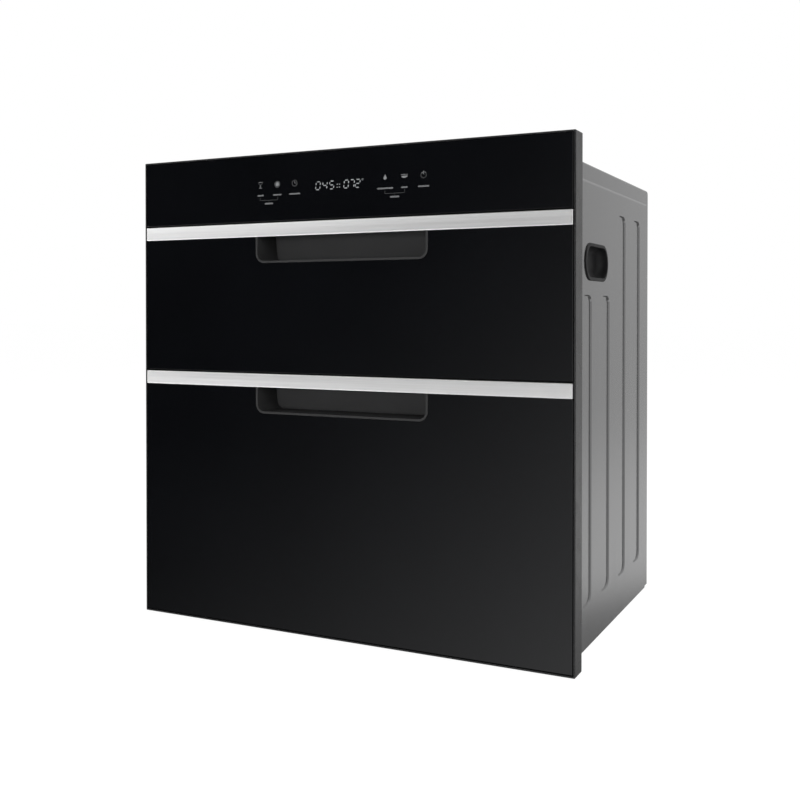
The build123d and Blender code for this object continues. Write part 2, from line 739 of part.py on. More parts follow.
def door_pan(glass_bottom, strip_bottom):
    """The folded steel box behind a drawer's glass."""
    x = both(PAN_HALF)
    y = (GLASS_BACK, PAN_BACK)
    z = (glass_bottom + PAN_INSET, strip_bottom + STRIP_HEIGHT - PAN_INSET)
    pan = block(x, y, z) - block(
        grow(x, -PAN_SHEET), grow(y, -PAN_SHEET), grow(z, -PAN_SHEET)
    )
    window = block(grow(x, -PAN_LIP), (y[0] - 1, y[0] + 2 * PAN_SHEET), grow(z, -PAN_LIP))
    hook_top = strip_bottom + PULL_RISE + PULL_WALL + TRIM_GAP
    hook = along_y(pull_outline(strip_bottom, TRIM_GAP, hook_top), y[0] - 1, y[1] - PAN_SHEET)
    cup_top = strip_bottom + WINDOW_RISE - PULL_WINDOW_GAP + TRIM_GAP
    cup = along_y(pull_outline(strip_bottom, TRIM_GAP, cup_top), *grow(y, 1.0))
    return pan - window - hook - cup


def door_seal(window):
    """The soft ring on the back of a drawer front, round the chamber opening."""
    x = grow(both(WINDOW_HALF), SEAL_MARGIN)
    z = grow(window, SEAL_MARGIN)
    outer = outline(grow(x, SEAL_WIDTH), grow(z, SEAL_WIDTH), SEAL_WIDTH)
    ring = outer - outline(x, z, SEAL_INNER_CORNER)
    return along_y(ring, PAN_BACK, SEAL_BACK)


def sensor_places():
    """The middle of each drawer's magnet and switch across the width, lower drawer first."""
    return (-SENSOR_X, SENSOR_X)


def magnet(x, low, high):
    """The magnet inside the door pan, against its lower or upper wall, that shows it is shut."""
    wide, deep, _ = MAGNET_SIZE
    back = PAN_BACK - PAN_SHEET
    return block(grow((x, x), wide / 2), (back - deep, back), (low, high))


def lower_magnet():
    top = LOWER_STRIP_BOTTOM + STRIP_HEIGHT - PAN_INSET - PAN_SHEET
    return magnet(sensor_places()[0], top - MAGNET_SIZE[2], top)


def upper_magnet():
    bottom = UPPER_GLASS_BOTTOM + PAN_INSET + PAN_SHEET
    return magnet(sensor_places()[1], bottom, bottom + MAGNET_SIZE[2])


def reed_switches():
    """The two sealed switches behind the flange, between the chambers."""
    wide, deep, tall = REED_SIZE
    z = middle((LOWER_WINDOW[1], UPPER_WINDOW[0]))
    switches = []
    for x in sensor_places():
        body = block(
            grow((x, x), wide / 2), (FRONT, FRONT + deep), grow((z, z), tall / 2)
        )
        switches.append(fillet(body.edges().filter_by(Axis.Y), 1.0))
    return Compound(children=switches)


def key_places():
    """The middles of the six touch keys across the width."""
    right = [KEY_FIRST + i * KEY_PITCH for i in range(3)]
    return [-x for x in reversed(right)] + right


def control_carrier():
    """The moulded box behind the control glass that carries the boards."""
    x = both(GLASS_HALF - CARRIER_INSET)
    y = (GLASS_BACK, FRONT - FLANGE)
    z = grow((CONTROL_GLASS_BOTTOM, CONTROL_GLASS_TOP), -CARRIER_INSET)
    box = block(x, y, z) - block(
        grow(x, -CARRIER_WALL), (y[0] - 1, y[1] - CARRIER_WALL), grow(z, -CARRIER_WALL)
    )
    board_back = GLASS_BACK + BOARD_SETBACK + BOARD
    for side in (-1, 1):
        x_post = side * (BOARD_WIDTH / 2 - POST_INSET)
        post = rod((x_post, board_back, KEY_Z), (0, 1, 0), y[1] - board_back, POST_RADIUS)
        box = box + post
    return box - along_y(wiring_outline(), y[1] - 2 * CARRIER_WALL, y[1] + 1)


def touch_board():
    """The key board, with a sprung touch pad behind each key."""
    y = (GLASS_BACK + BOARD_SETBACK, GLASS_BACK + BOARD_SETBACK + BOARD)
    board = block(both(BOARD_WIDTH / 2), y, grow((KEY_Z, KEY_Z), BOARD_HEIGHT / 2))
    pads = [
        rod((x, GLASS_BACK, KEY_Z), (0, 1, 0), BOARD_SETBACK, KEY_RADIUS)
        for x in key_places()
    ]
    wide, deep, tall = CHIP_SIZE
    chip_z = KEY_Z - CHIP_DROP
    chips = [
        block(grow((x, x), wide / 2), (y[1], y[1] + deep), grow((chip_z, chip_z), tall / 2))
        for x in CHIP_X
    ]
    return fused([board, *pads, *chips])


def display_module():
    """The number display between the board and the glass."""
    y = (GLASS_BACK, GLASS_BACK + BOARD_SETBACK)
    z = KEY_Z - DISPLAY_DROP
    body = block(both(DISPLAY_WIDTH / 2), y, grow((z, z), DISPLAY_HEIGHT / 2))
    return fillet(body.edges().filter_by(Axis.Y), DISPLAY_CORNER)


# Chambers and air system


def vent_slots(centre_z, length):
    """A row of upright vent slots, drawn in X and Z."""
    first = -(VENT_COUNT - 1) / 2 * VENT_PITCH
    return [
        Pos(first + i * VENT_PITCH, centre_z) * Rot(0, 0, 90) * SlotOverall(length, VENT_WIDTH)
        for i in range(VENT_COUNT)
    ]


def liner(window, slots):
    """A chamber's stainless box, open to the front, with vents in its back wall."""
    x = both(WINDOW_HALF)
    shell = block(grow(x, LINER), (FRONT, LINER_BACK), grow(window, LINER))
    lip = block(grow(x, LINER_LIP), (FRONT, FRONT + LINER), grow(window, LINER_LIP))
    hollow = block(x, (FRONT - 1, CHAMBER_BACK), window)
    cuts = [along_y(slot, CHAMBER_BACK - 1, LINER_BACK + 1) for slot in slots]
    return (shell + lip).cut(hollow, *cuts)


def upper_liner():
    intake = []
    for column in range(INTAKE_COLUMNS):
        x = (column - (INTAKE_COLUMNS - 1) / 2) * VENT_PITCH
        tall = 2 * math.sqrt(VOLUTE_INLET**2 - x**2)
        intake.append(Pos(x, FAN_Z) * Rot(0, 0, 90) * SlotOverall(tall, VENT_WIDTH))
    vents = vent_slots(UPPER_WINDOW[0] + UPPER_VENT_LIFT, UPPER_VENT_LENGTH)
    return liner(UPPER_WINDOW, intake + vents)


def lower_liner():
    low, high = LOWER_WINDOW
    heights = [low + share * (high - low) for share in LOWER_VENT_SHARES]
    rows = [vent_slots(z, VENT_LENGTH) for z in heights]
    return liner(LOWER_WINDOW, [slot for row in rows for slot in row])


def air_duct():
    """The folded duct on the back of both chambers that spreads the warm air."""
    x, z = both(DUCT_HALF), (DUCT_LOW, DUCT_HIGH)
    y = (LINER_BACK, LINER_BACK + VOLUTE_DEPTH)
    shell = block(x, y, z) - block(
        grow(x, -SHEET), (y[0] - 1, y[1] - SHEET), grow(z, -SHEET)
    )
    throat = block(
        (THROAT_INNER, VOLUTE_RADIUS), grow(y, -VOLUTE_WALL), grow((z[1], z[1]), 2 * SHEET)
    )
    bridge = block(
        x,
        (y[0], y[0] + SHEET),
        (LOWER_WINDOW[1] - DUCT_OVERLAP, UPPER_WINDOW[0] + DUCT_OVERLAP),
    )
    return shell - throat + bridge


def volute_body(radius, y, throat_x, bottom):
    """A drum with a straight throat down into the duct."""
    drum = rod((0, y[0], FAN_Z), (0, 1, 0), y[1] - y[0], radius)
    return Part() + drum + block(throat_x, y, (bottom, FAN_Z))


def fan_housing():
    """The spiral housing round the fan, with its intake towards the upper chamber."""
    y = (LINER_BACK, LINER_BACK + VOLUTE_DEPTH)
    throat = (THROAT_INNER, VOLUTE_RADIUS)
    outer = volute_body(VOLUTE_RADIUS, y, throat, DUCT_HIGH)
    inner = volute_body(
        VOLUTE_RADIUS - VOLUTE_WALL,
        grow(y, -VOLUTE_WALL),
        grow(throat, -VOLUTE_WALL),
        DUCT_HIGH - 1,
    )
    inlet = rod((0, y[0] - 1, FAN_Z), (0, 1, 0), 2 * VOLUTE_WALL, VOLUTE_INLET)
    boss = rod((0, y[1] - 2 * VOLUTE_WALL, FAN_Z), (0, 1, 0), 4 * VOLUTE_WALL, FAN_HUB)
    return outer - inner - inlet - boss


def fan_wheel():
    """The bladed wheel and its shaft."""
    back = LINER_BACK + VOLUTE_DEPTH - VOLUTE_WALL - FAN_BACK_GAP
    front = back - FAN_DEPTH
    plate = rod((0, back - FAN_PLATE, FAN_Z), (0, 1, 0), FAN_PLATE, FAN_RADIUS)
    ring = Part() + rod((0, front, FAN_Z), (0, 1, 0), FAN_PLATE, FAN_RADIUS)
    ring = ring - rod((0, front - 1, FAN_Z), (0, 1, 0), FAN_DEPTH, FAN_RADIUS - FAN_RING)
    hub = rod((0, front + FAN_PLATE, FAN_Z), (0, 1, 0), FAN_DEPTH - FAN_PLATE, WHEEL_HUB)
    shaft_end = LINER_BACK + VOLUTE_DEPTH + SHAFT_IN_MOTOR
    shaft = rod((0, front, FAN_Z), (0, 1, 0), shaft_end - front, SHAFT_RADIUS)
    blade = Box(FAN_BLADE_LENGTH, FAN_DEPTH - FAN_PLATE, FAN_BLADE_SHEET)
    reach = FAN_RADIUS - FAN_BLADE_INSET - FAN_BLADE_LENGTH / 2
    blades = [
        Pos(0, (front + back) / 2, FAN_Z)
        * Rot(0, i * 360 / FAN_BLADES, 0)
        * Pos(reach, 0, 0)
        * Rot(0, FAN_BLADE_ANGLE, 0)
        * blade
        for i in range(FAN_BLADES)
    ]
    return fused([plate, ring, hub, shaft, *blades])


def fan_motor():
    """The flat motor behind the fan housing, with its two fixing ears."""
    start = LINER_BACK + VOLUTE_DEPTH
    can = Part() + rod((0, start, FAN_Z), (0, 1, 0), MOTOR_LENGTH, MOTOR_RADIUS)
    can = fillet(can.faces().sort_by(Axis.Y)[-1].edges(), MOTOR_ROUND)
    ear_z = grow((FAN_Z, FAN_Z), MOTOR_EAR_HEIGHT / 2)
    ear = block(both(MOTOR_RADIUS + MOTOR_EAR_REACH), (start, start + MOTOR_EAR_SHEET), ear_z)
    depth = SHAFT_IN_MOTOR + SHAFT_END_GAP
    bore = rod(
        (0, start - 1, FAN_Z), (0, 1, 0), depth + 1, SHAFT_RADIUS + SHAFT_CLEARANCE
    )
    return can + ear - bore


def ptc_heater():
    """The finned heater block inside the duct."""
    y = (LINER_BACK + VOLUTE_WALL, LINER_BACK + VOLUTE_DEPTH - SHEET)
    heater_z = (HEATER_LOW, HEATER_LOW + HEATER_HEIGHT)
    gap = (HEATER_HEIGHT - HEATER_BARS * HEATER_BAR) / (HEATER_BARS - 1)
    pieces = []
    for i in range(HEATER_BARS):
        z = HEATER_LOW + i * (HEATER_BAR + gap)
        pieces.append(block(both(HEATER_HALF), y, (z, z + HEATER_BAR)))
    for x in both(HEATER_HALF):
        end = sorted((x, math.copysign(DUCT_HALF - SHEET, x)))
        pieces.append(block(end, y, heater_z))
    pitch = 2 * HEATER_HALF / HEATER_FINS
    for i in range(1, HEATER_FINS):
        x = -HEATER_HALF + i * pitch
        fin = block(
            grow((x, x), HEATER_FIN_SHEET / 2), grow(y, -HEATER_FIN_INSET), heater_z
        )
        pieces.append(fin)
    return fused(pieces)


def quartz_heater():
    """Two quartz tube heaters with ceramic ends, clipped to the back of the lower chamber."""
    y = CHAMBER_BACK - QUARTZ_CAP_RADIUS
    tubes = []
    for z in [LOWER_WINDOW[1] - drop for drop in QUARTZ_DROPS]:
        tube = rod((-QUARTZ_HALF, y, z), (1, 0, 0), 2 * QUARTZ_HALF, QUARTZ_RADIUS)
        caps = [
            rod((side * QUARTZ_HALF, y, z), (side, 0, 0), QUARTZ_CAP_LENGTH, QUARTZ_CAP_RADIUS)
            for side in (-1, 1)
        ]
        tubes.append(fused([tube, *caps]))
    return Compound(children=tubes)


def uv_lamp():
    """The ultraviolet tube at the top back of the upper chamber."""
    y = CHAMBER_BACK - LAMP_WALL_GAP - LAMP_RADIUS
    tube = rod((-LAMP_HALF, y, LAMP_Z), (1, 0, 0), 2 * LAMP_HALF, LAMP_RADIUS)
    pins = [
        rod((side * LAMP_HALF, y, LAMP_Z), (side, 0, 0), LAMP_SOCKET / 2, LAMP_PIN_RADIUS)
        for side in (-1, 1)
    ]
    return fused([tube, *pins])


def uv_lamp_sockets():
    """The sockets that hold the lamp's ends against the chamber's back wall."""
    y = CHAMBER_BACK - LAMP_WALL_GAP - LAMP_RADIUS
    half = LAMP_RADIUS + LAMP_WALL_GAP
    sockets = []
    for side in (-1, 1):
        x = sorted((side * LAMP_HALF, side * (LAMP_HALF + LAMP_SOCKET)))
        body = block(x, (y - half, CHAMBER_BACK), grow((LAMP_Z, LAMP_Z), half))
        hole = rod(
            (side * (LAMP_HALF - 1), y, LAMP_Z), (side, 0, 0), LAMP_SOCKET / 2 + 1, LAMP_PIN_RADIUS
        )
        body = fillet(body.edges().filter_by(Axis.X).group_by(Axis.Y)[0], SOCKET_ROUND)
        sockets.append(body - hole)
    return Compound(children=sockets)


# Electronics above the upper chamber


def electronics_tray():
    """The moulded tray on top of the upper chamber."""
    x = both(ELECTRONICS_HALF)
    y = (FRONT + ELECTRONICS_FRONT, FRONT + ELECTRONICS_REAR)
    z = (LINER_TOP, LINER_TOP + ELECTRONICS_RIM)
    tray = block(x, y, z)
    tray = fillet(tray.edges().filter_by(Axis.Z), ELECTRONICS_CORNER)
    floor = z[0] + ELECTRONICS_WALL
    tray = tray - block(
        grow(x, -ELECTRONICS_WALL), grow(y, -ELECTRONICS_WALL), (floor, z[1] + 1)
    )
    for post_x in grow(POWER_BOARD_X, -POST_INSET):
        for post_y in grow(POWER_BOARD_Y, -POST_INSET):
            place = (post_x, FRONT + post_y, floor)
            tray = tray + rod(place, (0, 0, 1), POST_HEIGHT, POST_RADIUS)
    return tray


def power_board():
    """The supply board with its transformer, relays and capacitors."""
    bottom = LINER_TOP + ELECTRONICS_WALL + POST_HEIGHT
    top = bottom + BOARD
    front, rear = (FRONT + y for y in POWER_BOARD_Y)
    pieces = [block(POWER_BOARD_X, (front, rear), (bottom, top))]
    for x, y, wide, deep, tall in BOARD_BLOCKS.values():
        place_y = (FRONT + y, FRONT + y + deep)
        pieces.append(block((x, x + wide), place_y, (top, top + tall)))
    for x in CAPACITOR_X:
        place = (x, FRONT + CAPACITOR_Y, top)
        pieces.append(rod(place, (0, 0, 1), CAPACITOR_HEIGHT, CAPACITOR_RADIUS))
    return fused(pieces)


def ozone_generator():
    """The sealed ozone module beside the board, with its outlet nozzle."""
    floor = LINER_TOP + ELECTRONICS_WALL
    front, rear = (FRONT + y for y in OZONE_Y)
    box = block(OZONE_X, (front, rear), (floor, floor + OZONE_HEIGHT))
    box = fillet(box.edges().filter_by(Axis.Z), OZONE_CORNER)
    x, z = middle(OZONE_X), floor + OZONE_HEIGHT / 2
    nozzle = rod((x, rear, z), (0, 1, 0), NOZZLE_LENGTH, NOZZLE_RADIUS)
    bore = rod((x, rear, z), (0, 1, 0), NOZZLE_LENGTH, NOZZLE_BORE)
    return box + nozzle - bore


# Runners


def from_wall(start, wide, half):
    """A rectangle that starts at a distance from the chamber wall, by half its height."""
    return Pos(start, 0) * Rectangle(wide, 2 * half, align=(Align.MIN, Align.CENTER))


def runner_section(member):
    """A runner member's section: distances from the chamber wall, heights from its middle."""
    half = RUNNER_HEIGHT / 2
    sheet, gap = RUNNER_SHEET, RUNNER_GAP
    if member == "outer":
        shape = from_wall(0, RUNNER_REACH, half)
        hollow = from_wall(sheet, RUNNER_REACH - 2 * sheet, half - sheet)
        mouth = from_wall(sheet, RUNNER_REACH, half - sheet - RUNNER_RETURN)
        return shape - hollow - mouth
    if member == "middle":
        tall = half - sheet - gap
        start = sheet + gap
        wide = RUNNER_REACH - sheet - gap - start
        hollow = from_wall(start + sheet, wide, tall - RUNNER_EDGE)
        return from_wall(start, wide, tall) - hollow
    tall = half - sheet - gap - RUNNER_EDGE - gap
    start = 2 * (sheet + gap)
    wide = RUNNER_SPACE - start
    hollow = from_wall(start, wide - sheet, tall - RUNNER_EDGE)
    return from_wall(start, wide, tall) - hollow


def runner(member, side, z):
    """A runner member on the left (-1) or right (1) of a chamber."""
    section = runner_section(member)
    y = (FRONT + RUNNER_START, FRONT + RUNNER_START + RUNNER_LENGTH)
    right = Pos(WINDOW_HALF, z) * mirror(section, about=Plane.YZ)
    bar = along_y(right, *y)
    return bar if side > 0 else mirror(bar, about=Plane.YZ)


# What the drawers carry


def cradle(runner_z):
    """The folded frame that joins a door to its runners and carries tray and basket."""
    z = grow((runner_z, runner_z), RUNNER_HEIGHT / 2)
    y = (PAN_BACK, FRONT + ARM_END)
    outer = block(both(ARM_OUTER), y, z)
    hollow = block(both(ARM_OUTER - ARM_SHEET), grow(y, -ARM_SHEET), grow(z, 1.0))
    frame = outer - hollow
    for side in (-1, 1):
        x = sorted((side * (ARM_OUTER - ARM_LEDGE), side * ARM_OUTER))
        frame = frame + block(x, y, (z[0], z[0] + ARM_SHEET))
    return frame


def drip_tray(runner_z):
    """The shallow tray that hangs on the cradle's ledges and catches the water."""
    top = runner_z - RUNNER_HEIGHT / 2 + ARM_SHEET + TRAY_SHEET
    rim_half = ARM_OUTER - ARM_SHEET - TRAY_SIDE_GAP
    half = ARM_OUTER - ARM_LEDGE - TRAY_LEDGE_GAP
    y = (FRONT + TRAY_FRONT, FRONT + TRAY_REAR)
    rim = along_z(outline(both(rim_half), y, TRAY_CORNER), top - TRAY_SHEET, top)
    pan_y = grow(y, -TRAY_RIM)
    body = along_z(outline(both(half), pan_y, TRAY_CORNER), top - TRAY_DEPTH, top)
    hollow_flat = outline(
        both(half - TRAY_SHEET), grow(pan_y, -TRAY_SHEET), TRAY_CORNER - TRAY_SHEET
    )
    hollow = along_z(hollow_flat, top - TRAY_DEPTH + TRAY_SHEET, top + 1)
    return rim + body - hollow


def centred_places(span, pitch):
    """Places at an even pitch, centred in a (low, high) pair."""
    count = int((span[1] - span[0]) / pitch) + 1
    first = middle(span) - (count - 1) / 2 * pitch
    return [first + i * pitch for i in range(count)]


def basket_base(runner_z):
    """The height at which a basket rests on the tray's rim."""
    return runner_z - RUNNER_HEIGHT / 2 + ARM_SHEET + TRAY_SHEET


def basket_floor_top(runner_z):
    """The height of the upper side of a basket's floor."""
    return basket_base(runner_z) + BASKET_SHEET


def floor_slots(x, y, z):
    """The drain slots in a basket's floor, in rows from front to back."""
    length = (y[1] - y[0] + FLOOR_SLOT_BRIDGE) / FLOOR_SLOT_ROWS
    slot = Rot(0, 0, 90) * SlotOverall(length - FLOOR_SLOT_BRIDGE, BASKET_SLOT)
    first = y[0] + (length - FLOOR_SLOT_BRIDGE) / 2
    return [
        along_z(Pos(at, first + row * length) * slot, z - BASKET_SHEET, z + 2 * BASKET_SHEET)
        for at in centred_places(x, BASKET_SLOT_PITCH)
        for row in range(FLOOR_SLOT_ROWS)
    ]


def dish_basket(runner_z, height):
    """A folded steel basket with slotted floor and walls and a turned rim. It ends short of
    the drip tray's back, so that the tray stays open behind it."""
    base = basket_base(runner_z)
    x = both(BASKET_HALF)
    y = (FRONT + BASKET_FRONT, FRONT + BASKET_REAR)
    top = base + height
    box = along_z(outline(x, y, BASKET_CORNER), base, top)
    box = fillet(box.edges().group_by(Axis.Z)[0], BASKET_BEND)
    rim = outline(grow(x, BASKET_RIM), grow(y, BASKET_RIM), BASKET_CORNER + BASKET_RIM)
    inner = outline(
        grow(x, -BASKET_SHEET), grow(y, -BASKET_SHEET), BASKET_CORNER - BASKET_SHEET
    )
    hollow = along_z(inner, base + BASKET_SHEET, top + 1)
    hollow = fillet(hollow.edges().group_by(Axis.Z)[0], BASKET_BEND - BASKET_SHEET)
    basket = box + along_z(rim, top - BASKET_RIM_HEIGHT, top) - hollow
    slot_x, slot_y = grow(x, -2 * BASKET_SLOT_INSET), grow(y, -2 * BASKET_SLOT_INSET)
    wall_z = (base + BASKET_SLOT_INSET, top - BASKET_SLOT_INSET)
    upright = Rot(0, 0, 90) * SlotOverall(wall_z[1] - wall_z[0], BASKET_SLOT)
    cuts = floor_slots(slot_x, slot_y, base)
    for at in centred_places(slot_x, BASKET_SLOT_PITCH):
        cuts.append(along_y(Pos(at, middle(wall_z)) * upright, *grow(y, 1.0)))
    for at in centred_places(slot_y, BASKET_SLOT_PITCH):
        cuts.append(along_x(Pos(at, middle(wall_z)) * upright, *grow(x, 1.0)))
    return basket.cut(*cuts)


def wire(points, radius, bend):
    """A round wire along straight lines with bends between them."""
    path = FilletPolyline(*points, radius=bend)
    start = Plane(origin=path @ 0, z_dir=path % 0)
    return sweep(start * Circle(radius), path=path)


def plate_holder():
    """A row of wire hoops on two rails that keeps plates upright."""
    rest = basket_floor_top(LOWER_RUNNER_Z)
    y = (FRONT + PLATE_FRONT_Y, FRONT + PLATE_FRONT_Y + PLATE_HOOP_DEPTH)
    last = PLATE_START_X + PLATE_GAPS * PLATE_PITCH
    length = last - PLATE_START_X + 2 * PLATE_RAIL_OVERHANG
    rails = [
        rod((PLATE_START_X - PLATE_RAIL_OVERHANG, at, rest + WIRE), (1, 0, 0), length, WIRE)
        for at in y
    ]
    foot = rest + 2 * WIRE
    top = foot + PLATE_HOOP_HEIGHT
    hoops = []
    for i in range(PLATE_GAPS + 1):
        x = PLATE_START_X + i * PLATE_PITCH
        points = [(x, y[0], foot), (x, y[0], top), (x, y[1], top), (x, y[1], foot)]
        hoops.append(wire(points, WIRE, PLATE_HOOP_CORNER))
    return Compound(children=[*rails, *hoops])


def cutlery_holder():
    """A slotted steel box for chopsticks and spoons at the basket's right."""
    floor = basket_floor_top(UPPER_RUNNER_Z)
    right = BASKET_HALF - BASKET_SHEET - CUTLERY_GAP
    x = (right - CUTLERY_WIDTH, right)
    centre = FRONT + middle((BASKET_FRONT, BASKET_REAR))
    y = grow((centre, centre), CUTLERY_LENGTH / 2)
    z = (floor, floor + CUTLERY_HEIGHT)
    box = along_z(outline(x, y, CUTLERY_CORNER), *z)
    inner = outline(
        grow(x, -CUTLERY_WALL), grow(y, -CUTLERY_WALL), CUTLERY_CORNER - CUTLERY_WALL
    )
    box = box - along_z(inner, z[0] + CUTLERY_WALL, z[1] + 1)
    span = grow(z, -CUTLERY_SLOT_INSET)
    slot = Rot(0, 0, 90) * SlotOverall(span[1] - span[0], CUTLERY_SLOT)
    cuts = [
        along_x(Pos(at, middle(span)) * slot, *grow(x, 1.0))
        for at in centred_places(grow(y, -1.5 * CUTLERY_CORNER), CUTLERY_SLOT_PITCH)
    ]
    return box.cut(*cuts)


def drawer_pieces(name, glass_bottom, strip_bottom, window, runner_z, basket_height):
    """The pieces that both drawers have, by node name."""
    return {
        f"{name}_front_glass": door_glass(glass_bottom, strip_bottom),
        f"{name}_trim_strip": trim_strip(strip_bottom),
        f"{name}_finger_pull": finger_pull(strip_bottom),
        f"{name}_door_pan": door_pan(glass_bottom, strip_bottom),
        f"{name}_door_seal": door_seal(window),
        f"{name}_drawer_cradle": cradle(runner_z),
        f"{name}_drip_tray": drip_tray(runner_z),
        f"{name}_dish_basket": dish_basket(runner_z, basket_height),
        f"{name}_runner_outer_left": runner("outer", -1, runner_z),
        f"{name}_runner_outer_right": runner("outer", 1, runner_z),
        f"{name}_runner_middle_left": runner("middle", -1, runner_z),
        f"{name}_runner_middle_right": runner("middle", 1, runner_z),
        f"{name}_runner_inner_left": runner("inner", -1, runner_z),
        f"{name}_runner_inner_right": runner("inner", 1, runner_z),
    }


def all_pieces():
    """Every piece of the dish dryer, by node name."""
    side, grip = right_side_panel(), right_grip()
    pieces = {
        "side_panel_right": side,
        "side_panel_left": mirror(side, about=Plane.YZ),
        "carry_grip_right": grip,
        "carry_grip_left": mirror(grip, about=Plane.YZ),
        "top_cover": top_cover(),
        "base_pan": base_pan(),
        "rear_panel": rear_panel(),
        "casing_screws": casing_screws(),
        "cable_gland": cable_gland(),
        "surround_frame": surround_frame(),
        "control_glass": glass_sheet(CONTROL_GLASS_BOTTOM, CONTROL_GLASS_TOP),
        "control_carrier": control_carrier(),
        "touch_board": touch_board(),
        "display_module": display_module(),
        "reed_switches": reed_switches(),
        "upper_liner": upper_liner(),
        "lower_liner": lower_liner(),
        "air_duct": air_duct(),
        "fan_housing": fan_housing(),
        "fan_wheel": fan_wheel(),
        "fan_motor": fan_motor(),
        "ptc_heater": ptc_heater(),
        "quartz_heater": quartz_heater(),
        "uv_lamp": uv_lamp(),
        "uv_lamp_sockets": uv_lamp_sockets(),
        "electronics_tray": electronics_tray(),
        "power_board": power_board(),
        "ozone_generator": ozone_generator(),
        "lower_door_magnet": lower_magnet(),
        "upper_door_magnet": upper_magnet(),
        "plate_holder": plate_holder(),
        "cutlery_holder": cutlery_holder(),
    }
    pieces |= drawer_pieces(
        "upper",
        UPPER_GLASS_BOTTOM,
        UPPER_STRIP_BOTTOM,
        UPPER_WINDOW,
        UPPER_RUNNER_Z,
        UPPER_BASKET_HEIGHT,
    )
    pieces |= drawer_pieces(
        "lower",
        LOWER_GLASS_BOTTOM,
        LOWER_STRIP_BOTTOM,
        LOWER_WINDOW,
        LOWER_RUNNER_Z,
        LOWER_BASKET_HEIGHT,
    )
    return pieces


def main():
    os.makedirs("parts", exist_ok=True)
    for name, shape in all_pieces().items():
        export_step(shape, f"parts/{name}.step")


if __name__ == "__main__":
    main()
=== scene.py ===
import math

import bpy
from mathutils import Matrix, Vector


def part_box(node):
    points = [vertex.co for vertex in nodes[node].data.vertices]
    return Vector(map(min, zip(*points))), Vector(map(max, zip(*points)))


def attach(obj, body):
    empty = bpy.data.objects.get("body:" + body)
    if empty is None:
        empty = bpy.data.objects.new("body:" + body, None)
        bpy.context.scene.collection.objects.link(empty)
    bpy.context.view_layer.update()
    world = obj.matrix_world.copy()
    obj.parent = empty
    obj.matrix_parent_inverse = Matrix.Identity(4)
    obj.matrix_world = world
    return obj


# The dish dryer dressed for a studio picture. Metres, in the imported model's frame:
# +X is the user's right, -Y faces the user and +Z is up.

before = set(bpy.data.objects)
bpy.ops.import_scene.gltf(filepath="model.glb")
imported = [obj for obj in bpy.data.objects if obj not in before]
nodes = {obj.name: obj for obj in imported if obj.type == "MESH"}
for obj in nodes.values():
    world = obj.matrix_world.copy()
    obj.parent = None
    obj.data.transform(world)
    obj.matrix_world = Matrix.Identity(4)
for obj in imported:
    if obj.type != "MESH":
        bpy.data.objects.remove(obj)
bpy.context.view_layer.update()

# Camera fitted to the photograph
CAMERA_PLACE = (0.6210, -1.3147, 0.4022)
CAMERA_YAW = math.radians(26.235)
CAMERA_PITCH = math.radians(0.657)
CAMERA_LENS = 46.28
CAMERA_SENSOR = 36.0
CAMERA_SHIFT_Y = -0.0949
CAMERA_REACH = (0.01, 100.0)

# The part of a noise's range over which colour and gloss run from low to high
NOISE_LOW = 0.3
NOISE_HIGH = 0.7

# Brushed lines: their lumps to the metre along X, Y and Z
UPRIGHT_LINES = (2400.0, 2400.0, 8.0)
LEVEL_LINES = (9.0, 2600.0, 2600.0)
LINER_LINES = (1400.0, 30.0, 1400.0)
HEM_LINES = (2600.0, 9.0, 2600.0)

# The hem on the lid's side flanges
HEM_ROOT_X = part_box("top_cover")[1].x - 0.0003
HEM_PROUD = 0.0007
HEM_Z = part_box("top_cover")[0].z
HEM_HALF_HEIGHT = 0.0014
HEM_Y = (-0.199, 0.189)

# Marks printed on the control glass: the face that they lie on, their rows and their places
GLASS_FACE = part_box("control_glass")[0].y
MARK_LIFT = 0.00002
ICON_Z = 0.5626
ICON_X = (0.0635, 0.089, 0.114)
LEFT_GROUP_SHIFT = 0.0015
RIGHT_GROUP_SHIFT = 0.0007
LABEL_Z = 0.5495
LABEL_WIDTHS = (0.0095, 0.0125, 0.0165, 0.0215, 0.0085, 0.0145)
LABEL_HEIGHT = 0.0019
BRACKET_Z = 0.5432
BRACKET_TOP_Z = LABEL_Z - 0.0026
BRACKET_HALF = 0.013
BRACKET_TAIL = 0.0018
GROUP_LABEL_Z = 0.5390
GROUP_LABEL_WIDTH = 0.0125
GROUP_LABEL_HEIGHT = 0.0021

# Widths of the printed lines
HAIR_LINE = 0.0004
FINE_LINE = 0.0005
THIN_LINE = 0.0006
EVEN_LINE = 0.0007
BOLD_LINE = 0.0010

# The number display: each segment's ends as shares of a digit's width and height
SEGMENTS = {
    "a": ((0.0, 1.0), (1.0, 1.0)),
    "b": ((1.0, 1.0), (1.0, 0.5)),
    "c": ((1.0, 0.5), (1.0, 0.0)),
    "d": ((0.0, 0.0), (1.0, 0.0)),
    "e": ((0.0, 0.5), (0.0, 0.0)),
    "f": ((0.0, 1.0), (0.0, 0.5)),
    "g": ((0.0, 0.5), (1.0, 0.5)),
}
DIGITS = {"0": "abcdef", "2": "abged", "4": "fgbc", "5": "afgcd", "7": "abc"}
DIGIT_HEIGHT = 0.0095
DIGIT_WIDTH = 0.0060
DIGIT_STROKE = 0.0011
DIGIT_SPACING = 0.0008
DIGIT_SLANT = 0.12
DIGIT_BASE_Z = 0.5527
TIME_DIGITS = (("0", -0.0318), ("4", -0.0221), ("5", -0.0124))
HEAT_DIGITS = (("0", 0.0078), ("7", 0.0157), ("2", 0.0236))
DOT_X = (-0.0012, 0.0020)
DOT_RISE = (0.0016, 0.0052)
DOT_WIDTH = 0.0018
DOT_HEIGHT = 0.0009
DEGREE_X = 0.0336
DEGREE_RISE = 0.0092
DEGREE_RADIUS = 0.0009

